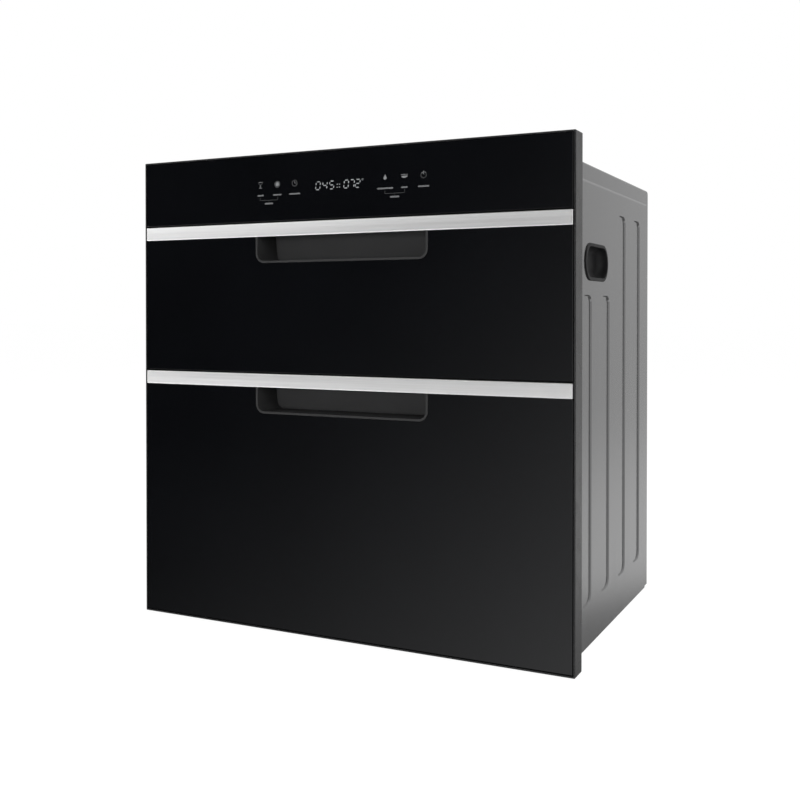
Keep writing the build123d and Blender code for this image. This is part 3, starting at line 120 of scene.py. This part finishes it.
# The floor: what the camera sees of it is mostly plain white
WHITE = (1.0, 1.0, 1.0, 1.0)
FLOOR_SIZE = 60.0
FLOOR_DROP = 0.0003
FLOOR_GREY = 0.8
FLOOR_ROUGHNESS = 0.8
FLOOR_WHITE_SHARE = 0.8
FLOOR_WHITE = 1.17

# Soft square lamps: place, aim, watts, width, and whether gloss mirrors them
LAMPS = {
    "lamp_left": ((-2.1, -2.5, 2.3), (0.0, -0.2, 0.35), 16.0, 1.6, True),
    "lamp_front": ((0.0, -3.2, 0.45), (0.0, -0.2, 0.4), 60.0, 0.8, False),
    "lamp_right": ((2.2, -1.7, 1.2), (0.28, 0.0, 0.3), 22.0, 1.2, False),
    "lamp_top": ((0.2, 0.6, 2.6), (0.0, 0.0, 0.3), 30.0, 1.8, True),
}

# Surroundings: the even light, and the directions along which the gloss changes
FILL = 0.33
RIGHTWARD = (1.0, 0.0, 0.0)
BACKWARD = (0.0, 1.0, 0.0)
UPWARD = (0.0, 0.0, 1.0)
AHEAD_SLOPE = (1.456, 0.0, -1.3)
AHEAD_LEVEL = 0.835
HORIZON_SLOPE = (0.449, 0.169, 1.0)
UNDERFOOT_LEVEL = 3.6
OVERHEAD_LEVEL = 0.7
FAR_LEFT_LEVEL = 2.3

# Gloss curves: brightness against the place along a direction
RIGHT_CURVE = ((0.1, 1.0), (0.5, 0.8))
LEFT_CURVE = ((-0.65, 1.0), (-0.2, 0.35), (0.2, 0.3))
FAR_LEFT_CURVE = ((-0.82, 1.0), (-0.66, 0.0))
UNDERFOOT_CURVE = ((-0.6, 1.0), (-0.35, 0.0))
OVERHEAD_CURVE = ((0.3, 0.0), (0.6, 1.0))
BEHIND_CURVE = ((-0.006, 0.28), (0.016, 0.84), (0.07, 0.81), (0.2, 0.61), (0.62, 0.65), (0.68, 1.0))
BACK_HALF_CURVE = ((-0.1, 0.0), (0.1, 1.0))


def camera():
    """The camera at the photograph's viewpoint."""
    data = bpy.data.cameras.new("camera")
    data.lens = CAMERA_LENS
    data.sensor_width = CAMERA_SENSOR
    data.shift_y = CAMERA_SHIFT_Y
    data.clip_start, data.clip_end = CAMERA_REACH
    cam = bpy.data.objects.new("camera", data)
    bpy.context.scene.collection.objects.link(cam)
    back = Vector(
        (
            math.sin(CAMERA_YAW) * math.cos(CAMERA_PITCH),
            -math.cos(CAMERA_YAW) * math.cos(CAMERA_PITCH),
            math.sin(CAMERA_PITCH),
        )
    )
    cam.rotation_mode = "QUATERNION"
    cam.rotation_quaternion = (-back).to_track_quat("-Z", "Y")
    cam.location = CAMERA_PLACE
    bpy.context.scene.camera = cam


# Short calls for adding nodes


class NodeTree:
    """The node tree of a material or of the world."""

    def __init__(self, tree):
        self.tree = tree

    def put(self, given, socket):
        """Links a socket to another one, or sets it to a number, vector or colour."""
        if isinstance(given, bpy.types.NodeSocket):
            self.tree.links.new(given, socket)
        else:
            socket.default_value = given

    def add(self, kind, **sockets):
        """A node of a kind, with what goes into its sockets."""
        node = self.tree.nodes.new(kind)
        for name, given in sockets.items():
            self.put(given, node.inputs[name])
        return node

    def math(self, operation, first, second):
        node = self.add("ShaderNodeMath")
        node.operation = operation
        self.put(first, node.inputs[0])
        self.put(second, node.inputs[1])
        return node.outputs["Value"]

    def along(self, direction, slope):
        """How far a direction goes along a slope."""
        node = self.add("ShaderNodeVectorMath")
        node.operation = "DOT_PRODUCT"
        self.put(direction, node.inputs[0])
        self.put(slope, node.inputs[1])
        return node.outputs["Value"]

    def mix(self, share, first, second):
        """Two shaders mixed, with a share of the second."""
        node = self.add("ShaderNodeMixShader", Fac=share)
        self.put(first, node.inputs[1])
        self.put(second, node.inputs[2])
        return node.outputs["Shader"]

    def backdrop(self, strength):
        """White light of a strength from all round."""
        node = self.add("ShaderNodeBackground", Color=WHITE, Strength=strength)
        return node.outputs["Background"]

    def ramp(self, source, stops, interpolation="LINEAR"):
        """A colour ramp from (position, colour) stops."""
        node = self.add("ShaderNodeValToRGB", Fac=source)
        node.color_ramp.interpolation = interpolation
        elements = node.color_ramp.elements
        while len(elements) < len(stops):
            elements.new(0.5)
        for element, (position, colour) in zip(elements, stops):
            element.position = position
            element.color = (*colour, 1.0)
        return node.outputs["Color"]

    def curve(self, source, places):
        """A soft curve through (source, brightness) places."""
        low, high = places[0][0], places[-1][0]
        share = self.math("DIVIDE", self.math("SUBTRACT", source, low), high - low)
        stops = [((place - low) / (high - low), (bright,) * 3) for place, bright in places]
        return self.ramp(share, stops, "EASE")


class Shader(NodeTree):
    """A new material with its Principled shader."""

    def __init__(self, name):
        self.material = bpy.data.materials.new(name)
        self.material.use_nodes = True
        super().__init__(self.material.node_tree)
        self.sockets = self.tree.nodes["Principled BSDF"].inputs
        self.coords = self.add("ShaderNodeTexCoord").outputs["Object"]

    def set(self, name, given):
        """Puts something into a socket of the Principled shader."""
        self.put(given, self.sockets[name])

    def noise(self, scale, detail=3.0, roughness=0.5, stretch=(1, 1, 1)):
        """Noise with so many lumps to the metre, stretched along X, Y and Z."""
        mapping = self.add("ShaderNodeMapping", Vector=self.coords, Scale=stretch)
        node = self.add(
            "ShaderNodeTexNoise",
            Vector=mapping.outputs["Vector"],
            Scale=scale,
            Detail=detail,
            Roughness=roughness,
        )
        return node.outputs["Fac"]

    def colour(self, source, base, spread):
        """The base colour, a little darker and lighter with the source."""
        low = tuple(c * (1 - spread) for c in base)
        high = tuple(min(1.0, c * (1 + spread)) for c in base)
        self.set("Base Color", self.ramp(source, [(NOISE_LOW, low), (NOISE_HIGH, high)]))

    def roughness(self, source, low, high):
        """Roughness that runs from low to high with the source."""
        node = self.add("ShaderNodeMapRange", Value=source)
        limits = {"From Min": NOISE_LOW, "From Max": NOISE_HIGH, "To Min": low, "To Max": high}
        for name, amount in limits.items():
            self.put(amount, node.inputs[name])
        self.set("Roughness", node.outputs["Result"])

    def bump(self, source, depth, strength):
        """Bumps of a depth in metres."""
        node = self.add("ShaderNodeBump", Height=source, Strength=strength, Distance=depth)
        self.set("Normal", node.outputs["Normal"])


# Materials


def painted_sheet(name, base, gloss=(0.38, 0.5), metal=0.0, sheen=0.5):
    """Powder-coated or pre-painted sheet: fine orange peel and faint clouding."""
    shader = Shader(name)
    shader.set("Specular IOR Level", sheen)
    shader.set("Metallic", metal)
    shader.colour(shader.noise(6.0, 4.0, 0.55), base, 0.05)
    shader.roughness(shader.noise(40.0, 4.0), *gloss)
    shader.bump(shader.noise(900.0, 2.0), 0.00003, 0.5)
    return shader.material


def brushed_metal(name, base, stretch, gloss=(0.28, 0.42), lines=0.05, turn=0.0, metal=1.0):
    """Brushed steel whose fine lines run along the axis with the smallest stretch."""
    shader = Shader(name)
    grain = shader.noise(1.0, 6.0, 0.7, stretch)
    wide = shader.noise(1.0, 2.0, 0.5, tuple(s * 0.12 for s in stretch))
    shader.colour(grain, base, lines)
    shader.roughness(wide, *gloss)
    shader.bump(grain, 0.00004, 0.35)
    shader.set("Metallic", metal)
    shader.set("Anisotropic", 0.6)
    shader.set("Anisotropic Rotation", turn)
    return shader.material


def rolled_metal(name, base, gloss=(0.26, 0.4)):
    """Plain rolled or zinc-coated steel with soft clouding and faint streaks."""
    shader = Shader(name)
    streak = shader.noise(1.0, 3.0, 0.6, (40.0, 900.0, 900.0))
    shader.colour(shader.noise(28.0, 5.0, 0.6), base, 0.08)
    shader.roughness(streak, *gloss)
    shader.bump(streak, 0.00002, 0.3)
    shader.set("Metallic", 1.0)
    return shader.material


def moulded_plastic(name, base, gloss=(0.42, 0.55), sheen=0.5):
    """Moulded plastic with a fine spark-eroded grain."""
    shader = Shader(name)
    shader.set("Specular IOR Level", sheen)
    shader.colour(shader.noise(18.0), base, 0.06)
    shader.roughness(shader.noise(120.0), *gloss)
    shader.bump(shader.noise(2600.0, 1.0), 0.00005, 0.45)
    return shader.material


def soft_rubber(name, base):
    """Extruded rubber: matt, with fine lines along it."""
    shader = Shader(name)
    shader.set("Specular IOR Level", 0.35)
    shader.colour(shader.noise(60.0), base, 0.1)
    shader.roughness(shader.noise(300.0, 2.0), 0.62, 0.78)
    shader.bump(shader.noise(1.0, 2.0, 0.5, (300.0, 3000.0, 300.0)), 0.00003, 0.4)
    return shader.material


def black_glass(name):
    """Back-painted black glass: a polished face over the paint, with faint clouding in it."""
    shader = Shader(name)
    shader.set("IOR", 1.5)
    shader.colour(shader.noise(5.0), (0.0024, 0.0026, 0.0032), 0.15)
    shader.roughness(shader.noise(9.0, 4.0), 0.03, 0.06)
    shader.bump(shader.noise(14.0, 2.0), 0.00001, 0.15)
    return shader.material


def clear_tube(name, tint, roughness):
    """A glass tube with slight waviness."""
    shader = Shader(name)
    shader.set("Transmission Weight", 0.85)
    shader.set("Roughness", roughness)
    shader.set("IOR", 1.46)
    shader.colour(shader.noise(30.0, 2.0), tint, 0.04)
    shader.bump(shader.noise(80.0, 2.0), 0.00005, 0.2)
    return shader.material


def circuit_board(name):
    """Solder-masked board with faint copper tracks under the lacquer."""
    shader = Shader(name)
    tracks = shader.add("ShaderNodeTexVoronoi", Vector=shader.coords, Scale=260.0)
    tracks.feature = "DISTANCE_TO_EDGE"
    distance = tracks.outputs["Distance"]
    stops = [(0.0, (0.03, 0.17, 0.06)), (0.08, (0.012, 0.075, 0.03)), (1.0, (0.01, 0.065, 0.025))]
    shader.set("Base Color", shader.ramp(distance, stops))
    shader.roughness(shader.noise(200.0, 2.0), 0.3, 0.45)
    shader.bump(distance, 0.00005, 0.3)
    return shader.material


def printed_ink(name, base, glow):
    """Screen-printed marks that the board behind the glass lights softly."""
    shader = Shader(name)
    shader.colour(shader.noise(4000.0, 2.0), base, 0.05)
    shader.roughness(shader.noise(800.0, 2.0), 0.4, 0.55)
    shader.set("Emission Color", (*base, 1.0))
    shader.set("Emission Strength", glow)
    return shader.material


def dress(material, *names):
    """Gives CAD nodes a material."""
    for name in names:
        for place in nodes[name].material_slots:
            place.material = material


def left_right(name):
    return (f"{name}_left", f"{name}_right")


def upper_lower(name):
    return (f"upper_{name}", f"lower_{name}")


def dress_model():
    """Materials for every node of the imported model."""
    body = brushed_metal(
        "body_sheet", (0.2, 0.2, 0.202), UPRIGHT_LINES, gloss=(0.1, 0.14), metal=0.92
    )
    dress(body, *left_right("side_panel"), "top_cover", "rear_panel", "base_pan")
    surround = painted_sheet("surround_grey", (0.016, 0.016, 0.0165), (0.22, 0.3), sheen=0.265)
    dress(surround, "surround_frame")
    grip = moulded_plastic("grip_black", (0.014, 0.014, 0.0145), (0.45, 0.55), sheen=0.14)
    dress(grip, *left_right("carry_grip"))
    dress(rolled_metal("screw_steel", (0.5, 0.5, 0.51)), "casing_screws")
    dress(moulded_plastic("gland_black", (0.012, 0.012, 0.012)), "cable_gland")
    dress(black_glass("front_glass"), "control_glass", *upper_lower("front_glass"))
    trim = brushed_metal(
        "trim_steel",
        (0.83, 0.83, 0.83),
        LEVEL_LINES,
        gloss=(0.38, 0.48),
        lines=0.07,
        turn=0.25,
        metal=0.9,
    )
    dress(trim, *upper_lower("trim_strip"))
    pull = moulded_plastic("pull_grey", (0.03, 0.03, 0.0305), (0.5, 0.6), sheen=0.05)
    dress(pull, *upper_lower("finger_pull"))
    dress(painted_sheet("pan_sheet", (0.08, 0.08, 0.083)), *upper_lower("door_pan"))
    dress(soft_rubber("seal_rubber", (0.06, 0.06, 0.062)), *upper_lower("door_seal"))
    dress(rolled_metal("magnet_grey", (0.18, 0.18, 0.185)), *upper_lower("door_magnet"))
    dress(moulded_plastic("carrier_plastic", (0.03, 0.03, 0.032)), "control_carrier")
    dress(circuit_board("board_green"), "touch_board", "power_board")
    dress(moulded_plastic("display_dark", (0.01, 0.01, 0.01), (0.12, 0.2)), "display_module")
    dress(moulded_plastic("white_plastic", (0.68, 0.68, 0.66)), "reed_switches")
    dress(brushed_metal("liner_steel", (0.56, 0.56, 0.57), LINER_LINES), *upper_lower("liner"))
    dress(rolled_metal("duct_steel", (0.42, 0.43, 0.44)), "air_duct")
    dress(moulded_plastic("fan_plastic", (0.02, 0.02, 0.022)), "fan_housing", "fan_wheel")
    dress(painted_sheet("motor_metal", (0.16, 0.16, 0.17), (0.3, 0.4), metal=0.6), "fan_motor")
    dress(rolled_metal("heater_alloy", (0.6, 0.6, 0.61)), "ptc_heater")
    dress(clear_tube("quartz_tube", (0.9, 0.86, 0.8), 0.2), "quartz_heater")
    dress(clear_tube("lamp_glass", (0.85, 0.9, 1.0), 0.05), "uv_lamp")
    dress(moulded_plastic("socket_white", (0.72, 0.72, 0.7), (0.15, 0.25)), "uv_lamp_sockets")
    dress(moulded_plastic("tray_plastic", (0.5, 0.5, 0.48)), "electronics_tray")
    dress(moulded_plastic("ozone_case", (0.42, 0.44, 0.47)), "ozone_generator")
    runner = rolled_metal("runner_steel", (0.6, 0.6, 0.615), (0.2, 0.32))
    for member in ("outer", "middle", "inner"):
        for side in left_right(f"runner_{member}"):
            dress(runner, *upper_lower(side))
    dress(rolled_metal("cradle_steel", (0.55, 0.55, 0.56)), *upper_lower("drawer_cradle"))
    dress(rolled_metal("drip_tray_steel", (0.58, 0.58, 0.59)), *upper_lower("drip_tray"))
    polished = rolled_metal("basket_steel", (0.64, 0.64, 0.65), (0.16, 0.28))
    dress(polished, *upper_lower("dish_basket"), "cutlery_holder")
    dress(rolled_metal("wire_steel", (0.7, 0.7, 0.71), (0.1, 0.18)), "plate_holder")


# Pieces that only the visual model has


def mesh_piece(name, vertices, faces, material):
    """A piece made of faces between vertices."""
    mesh = bpy.data.meshes.new(name)
    mesh.from_pydata(vertices, [], faces)
    mesh.validate()
    mesh.materials.append(material)
    piece = bpy.data.objects.new(name, mesh)
    bpy.context.scene.collection.objects.link(piece)
    return piece


def lid_hem(name, outward, material):
    """The rolled hem along the lower edge of the lid's side flange: a real rounded bead whose
    lighter colour is a painted highlight.
    """
    arc_angles = [math.radians(a) for a in range(-90, 91, 15)]
    profile = [
        (outward * (HEM_ROOT_X + HEM_PROUD * math.cos(a)), HEM_Z + HEM_HALF_HEIGHT * math.sin(a))
        for a in arc_angles
    ]
    vertices = [(x, y, z) for y in HEM_Y for x, z in profile]
    count = len(profile)
    faces = [list(range(count)), list(range(2 * count - 1, count - 1, -1))]
    for i in range(count):
        j = (i + 1) % count
        faces.append([i, count + i, count + j, j])
    piece = mesh_piece(name, vertices, [face[::outward] for face in faces], material)
    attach(piece, "cabinet")


def lid_hems():
    """The hems on both sides of the lid."""
    # The hem's steel is lighter than the body sheet: a painted highlight along the bead.
    hem = brushed_metal(
        "hem_painted_highlight", (0.31, 0.31, 0.313), HEM_LINES, gloss=(0.12, 0.18), metal=0.92
    )
    lid_hem("lid_hem_right", 1, hem)
    lid_hem("lid_hem_left", -1, hem)


def flat_mark(name, outlines, material):
    """A thin shape printed on the glass, from closed outlines of (x, z) points."""
    vertices, faces = [], []
    for outline in outlines:
        start = len(vertices)
        count = len(outline)
        for depth in (GLASS_FACE - MARK_LIFT, GLASS_FACE):
            vertices += [(x, depth, z) for x, z in outline]
        faces.append([start + i for i in range(count)])
        for i in range(count):
            j = (i + 1) % count
            faces.append([start + i, start + count + i, start + count + j, start + j])
    piece = mesh_piece(name, vertices, faces, material)
    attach(piece, "cabinet")


def arc(centre, radius, start, end, steps):
    """Points along an arc, by its start and end in degrees."""
    points = []
    for i in range(steps + 1):
        angle = math.radians(start + (end - start) * i / steps)
        points.append((centre[0] + radius * math.cos(angle), centre[1] + radius * math.sin(angle)))
    return points


def ring(centre, radius):
    """Points round a circle."""
    return arc(centre, radius, 0, 345, 23)


def stroke(points, width, closed=False):
    """Closed outlines of a line of even width through (x, z) points, one for each run."""
    runs = []
    pairs = list(zip(points, points[1:]))
    if closed:
        pairs.append((points[-1], points[0]))
    for (ax, az), (bx, bz) in pairs:
        length = math.hypot(bx - ax, bz - az)
        ux, uz = (bx - ax) / length * width / 2, (bz - az) / length * width / 2
        runs.append(
            [
                (ax - ux - uz, az - uz + ux),
                (ax - ux + uz, az - uz - ux),
                (bx + ux + uz, bz + uz - ux),
                (bx + ux - uz, bz + uz + ux),
            ]
        )
    return runs


def pill(x, z, width, height):
    """A bar with round ends, as one outline."""
    r = height / 2
    half = width / 2 - r
    return arc((x + half, z), r, -90, 90, 8) + arc((x - half, z), r, 90, 270, 8)


def plate_icon(x, z):
    """A filled plate with a rim ring."""
    return [ring((x, z), 0.0027)] + stroke(ring((x, z), 0.0038), FINE_LINE, True)


def cup_icon(x, z):
    """A stemmed cup: a bowl, a stem and a foot."""
    lines = stroke(arc((x, z + 0.0036), 0.003, 180, 360, 14), EVEN_LINE, True)
    lines += stroke([(x, z + 0.0006), (x, z - 0.0034)], EVEN_LINE)
    return lines + stroke([(x - 0.0019, z - 0.0036), (x + 0.0019, z - 0.0036)], EVEN_LINE)


def clock_icon(x, z):
    """A clock ring with two hands."""
    lines = stroke(ring((x, z), 0.0035), BOLD_LINE, True)
    lines += stroke([(x, z), (x, z + 0.0021)], EVEN_LINE)
    return lines + stroke([(x, z), (x + 0.0014, z)], EVEN_LINE)


def drop_icon(x, z):
    """A water drop."""
    return [arc((x, z - 0.0008), 0.0021, 150, 390, 18) + [(x, z + 0.0035)]]


def bowl_icon(x, z):
    """A wide bowl with a line above it."""
    rim_z = z + 0.0004
    bowl = [(px, rim_z + (pz - rim_z) * 0.6) for px, pz in arc((x, rim_z), 0.0042, 180, 360, 18)]
    return [bowl] + stroke([(x - 0.0042, z + 0.0019), (x + 0.0042, z + 0.0019)], THIN_LINE)


def power_icon(x, z):
    """An open ring with a bar at its top."""
    lines = stroke(arc((x, z), 0.0034, 125, 415, 22), BOLD_LINE)
    return lines + stroke([(x, z + 0.0012), (x, z + 0.0042)], BOLD_LINE)


def digit(character, left):
    """The lit segments of one seven-segment digit."""
    shapes = []
    for key in DIGITS[character]:
        ends = []
        for u, v in SEGMENTS[key]:
            x = left + u * DIGIT_WIDTH + v * DIGIT_HEIGHT * DIGIT_SLANT
            ends.append(Vector((x, DIGIT_BASE_Z + v * DIGIT_HEIGHT)))
        along = (ends[1] - ends[0]).normalized()
        start, end = ends[0] + along * DIGIT_SPACING, ends[1] - along * DIGIT_SPACING
        side = Vector((-along.y, along.x)) * DIGIT_STROKE / 2
        tip = along * DIGIT_STROKE / 2
        corners = [start, start + tip + side, end - tip + side, end]
        corners += [end - tip - side, start + tip - side]
        shapes.append([tuple(corner) for corner in corners])
    return shapes


def print_controls():
    """Icons, label bars, group brackets and the lit number display."""
    ink = printed_ink("print_ink", (0.13, 0.133, 0.136), 0.2)
    label_ink = printed_ink("label_ink", (0.09, 0.0925, 0.095), 0.11)
    bracket_ink = printed_ink("bracket_ink", (0.04, 0.041, 0.042), 0.05)
    left = [LEFT_GROUP_SHIFT - x for x in reversed(ICON_X)]
    right = [RIGHT_GROUP_SHIFT + x for x in ICON_X]
    icons = (cup_icon, plate_icon, clock_icon, drop_icon, bowl_icon, power_icon)
    names = ("cup", "plate", "clock", "drop", "bowl", "power")
    for name, icon, x in zip(names, icons, left + right):
        flat_mark(f"key_{name}", icon(x, ICON_Z), ink)
    for i, (x, width) in enumerate(zip(left + right, LABEL_WIDTHS)):
        flat_mark(f"label_bar_{i + 1}", [pill(x, LABEL_Z, width, LABEL_HEIGHT)], label_ink)
    for name, group in (("left", left), ("right", right)):
        x = (group[0] + group[1]) / 2
        points = [
            (x - BRACKET_HALF, BRACKET_TOP_Z),
            (x - BRACKET_HALF, BRACKET_Z),
            (x + BRACKET_HALF, BRACKET_Z),
            (x + BRACKET_HALF, BRACKET_TOP_Z),
        ]
        tail = [(x, BRACKET_Z), (x, BRACKET_Z - BRACKET_TAIL)]
        bracket = stroke(points, HAIR_LINE) + stroke(tail, HAIR_LINE)
        flat_mark(f"group_bracket_{name}", bracket, bracket_ink)
        bar = pill(x, GROUP_LABEL_Z, GROUP_LABEL_WIDTH, GROUP_LABEL_HEIGHT)
        flat_mark(f"group_bar_{name}", [bar], label_ink)
    lit = printed_ink("display_glow", (0.19, 0.2, 0.205), 0.55)
    for name, digits in (("time", TIME_DIGITS), ("heat", HEAT_DIGITS)):
        for i, (character, x) in enumerate(digits):
            flat_mark(f"{name}_digit_{i + 1}", digit(character, x), lit)
    dots = [
        pill(x, DIGIT_BASE_Z + rise, DOT_WIDTH, DOT_HEIGHT) for x in DOT_X for rise in DOT_RISE
    ]
    flat_mark("display_dots", dots, lit)
    degree = arc((DEGREE_X, DIGIT_BASE_Z + DEGREE_RISE), DEGREE_RADIUS, 0, 330, 12)
    flat_mark("display_ring", stroke(degree, FINE_LINE, True), lit)


# Floor, surroundings and lamps


def floor_material():
    """Pale paint with plain white added for the camera, so that only a shadow shows."""
    shader = Shader("studio_floor")
    shader.set("Base Color", (FLOOR_GREY, FLOOR_GREY, FLOOR_GREY, 1.0))
    shader.set("Roughness", FLOOR_ROUGHNESS)
    paint = shader.tree.nodes["Principled BSDF"].outputs["BSDF"]
    white = shader.add("ShaderNodeEmission", Color=WHITE, Strength=FLOOR_WHITE)
    seen = shader.add("ShaderNodeLightPath").outputs["Is Camera Ray"]
    share = shader.math("MULTIPLY", seen, FLOOR_WHITE_SHARE)
    mixed = shader.mix(share, paint, white.outputs["Emission"])
    shader.put(mixed, shader.tree.nodes["Material Output"].inputs["Surface"])
    return shader.material


def gloss_ahead(tree, direction):
    """What gloss mirrors on the user's side: brighter towards the lower right and dark on the
    left, but bright at the far left and, on the left, underfoot and overhead."""
    across, up = tree.along(direction, RIGHTWARD), tree.along(direction, UPWARD)
    reach = tree.math("ADD", tree.along(direction, AHEAD_SLOPE), AHEAD_LEVEL)
    squared = tree.math("POWER", tree.math("MAXIMUM", reach, 0.0), 2.0)
    ahead = tree.math("MINIMUM", squared, 1.0)
    ahead = tree.math("MULTIPLY", ahead, tree.curve(across, RIGHT_CURVE))
    leftward = tree.curve(across, LEFT_CURVE)
    underfoot = tree.curve(up, UNDERFOOT_CURVE)
    dimmed = tree.math("MULTIPLY", underfoot, tree.math("SUBTRACT", 1.0, leftward))
    ahead = tree.math("MULTIPLY", ahead, tree.math("SUBTRACT", 1.0, dimmed))
    steep = tree.math(
        "ADD",
        tree.math("MULTIPLY", underfoot, UNDERFOOT_LEVEL),
        tree.math("MULTIPLY", tree.curve(up, OVERHEAD_CURVE), OVERHEAD_LEVEL),
    )
    ahead = tree.math("MAXIMUM", ahead, tree.math("MULTIPLY", leftward, steep))
    far_left = tree.math("MULTIPLY", tree.curve(across, FAR_LEFT_CURVE), FAR_LEFT_LEVEL)
    return tree.math("MAXIMUM", ahead, far_left)


def surroundings():
    """White to the camera, even light for matt surfaces, and for gloss a studio: a wall behind
    the object above a darker floor, and on the user's side what gloss_ahead tells."""
    world = bpy.data.worlds.new("studio_world")
    bpy.context.scene.world = world
    world.use_nodes = True
    tree = NodeTree(world.node_tree)
    direction = tree.add("ShaderNodeTexCoord").outputs["Generated"]
    ahead = gloss_ahead(tree, direction)
    behind = tree.curve(tree.along(direction, HORIZON_SLOPE), BEHIND_CURVE)
    back_half = tree.curve(tree.along(direction, BACKWARD), BACK_HALF_CURVE)
    gloss = tree.math(
        "ADD",
        tree.math("MULTIPLY", behind, back_half),
        tree.math("MULTIPLY", ahead, tree.math("SUBTRACT", 1.0, back_half)),
    )
    rays = tree.add("ShaderNodeLightPath").outputs
    lit = tree.mix(rays["Is Glossy Ray"], tree.backdrop(FILL), tree.backdrop(gloss))
    open_view = tree.math("MAXIMUM", rays["Is Camera Ray"], rays["Is Transmission Ray"])
    all_round = tree.mix(open_view, lit, tree.backdrop(1.0))
    tree.put(all_round, world.node_tree.nodes["World Output"].inputs["Surface"])


def lamp(name, place, aim, power, size, mirrored):
    """A square soft lamp pointed at a place."""
    data = bpy.data.lights.new(name, "AREA")
    data.energy = power
    data.shape = "SQUARE"
    data.size = size
    light = bpy.data.objects.new(name, data)
    bpy.context.scene.collection.objects.link(light)
    light.location = place
    direction = Vector(aim) - Vector(place)
    light.rotation_euler = direction.to_track_quat("-Z", "Y").to_euler()
    light.visible_glossy = mirrored


def studio():
    """The floor, the surroundings and the lamps."""
    bpy.ops.mesh.primitive_plane_add(size=FLOOR_SIZE, location=(0.0, 0.0, -FLOOR_DROP))
    floor = bpy.context.object
    floor.name = "studio_floor"
    floor.data.materials.append(floor_material())
    floor.visible_glossy = False
    surroundings()
    for name, settings in LAMPS.items():
        lamp(name, *settings)


camera()
dress_model()
lid_hems()
print_controls()
studio()

view = bpy.context.scene.view_settings
view.view_transform = "Standard"
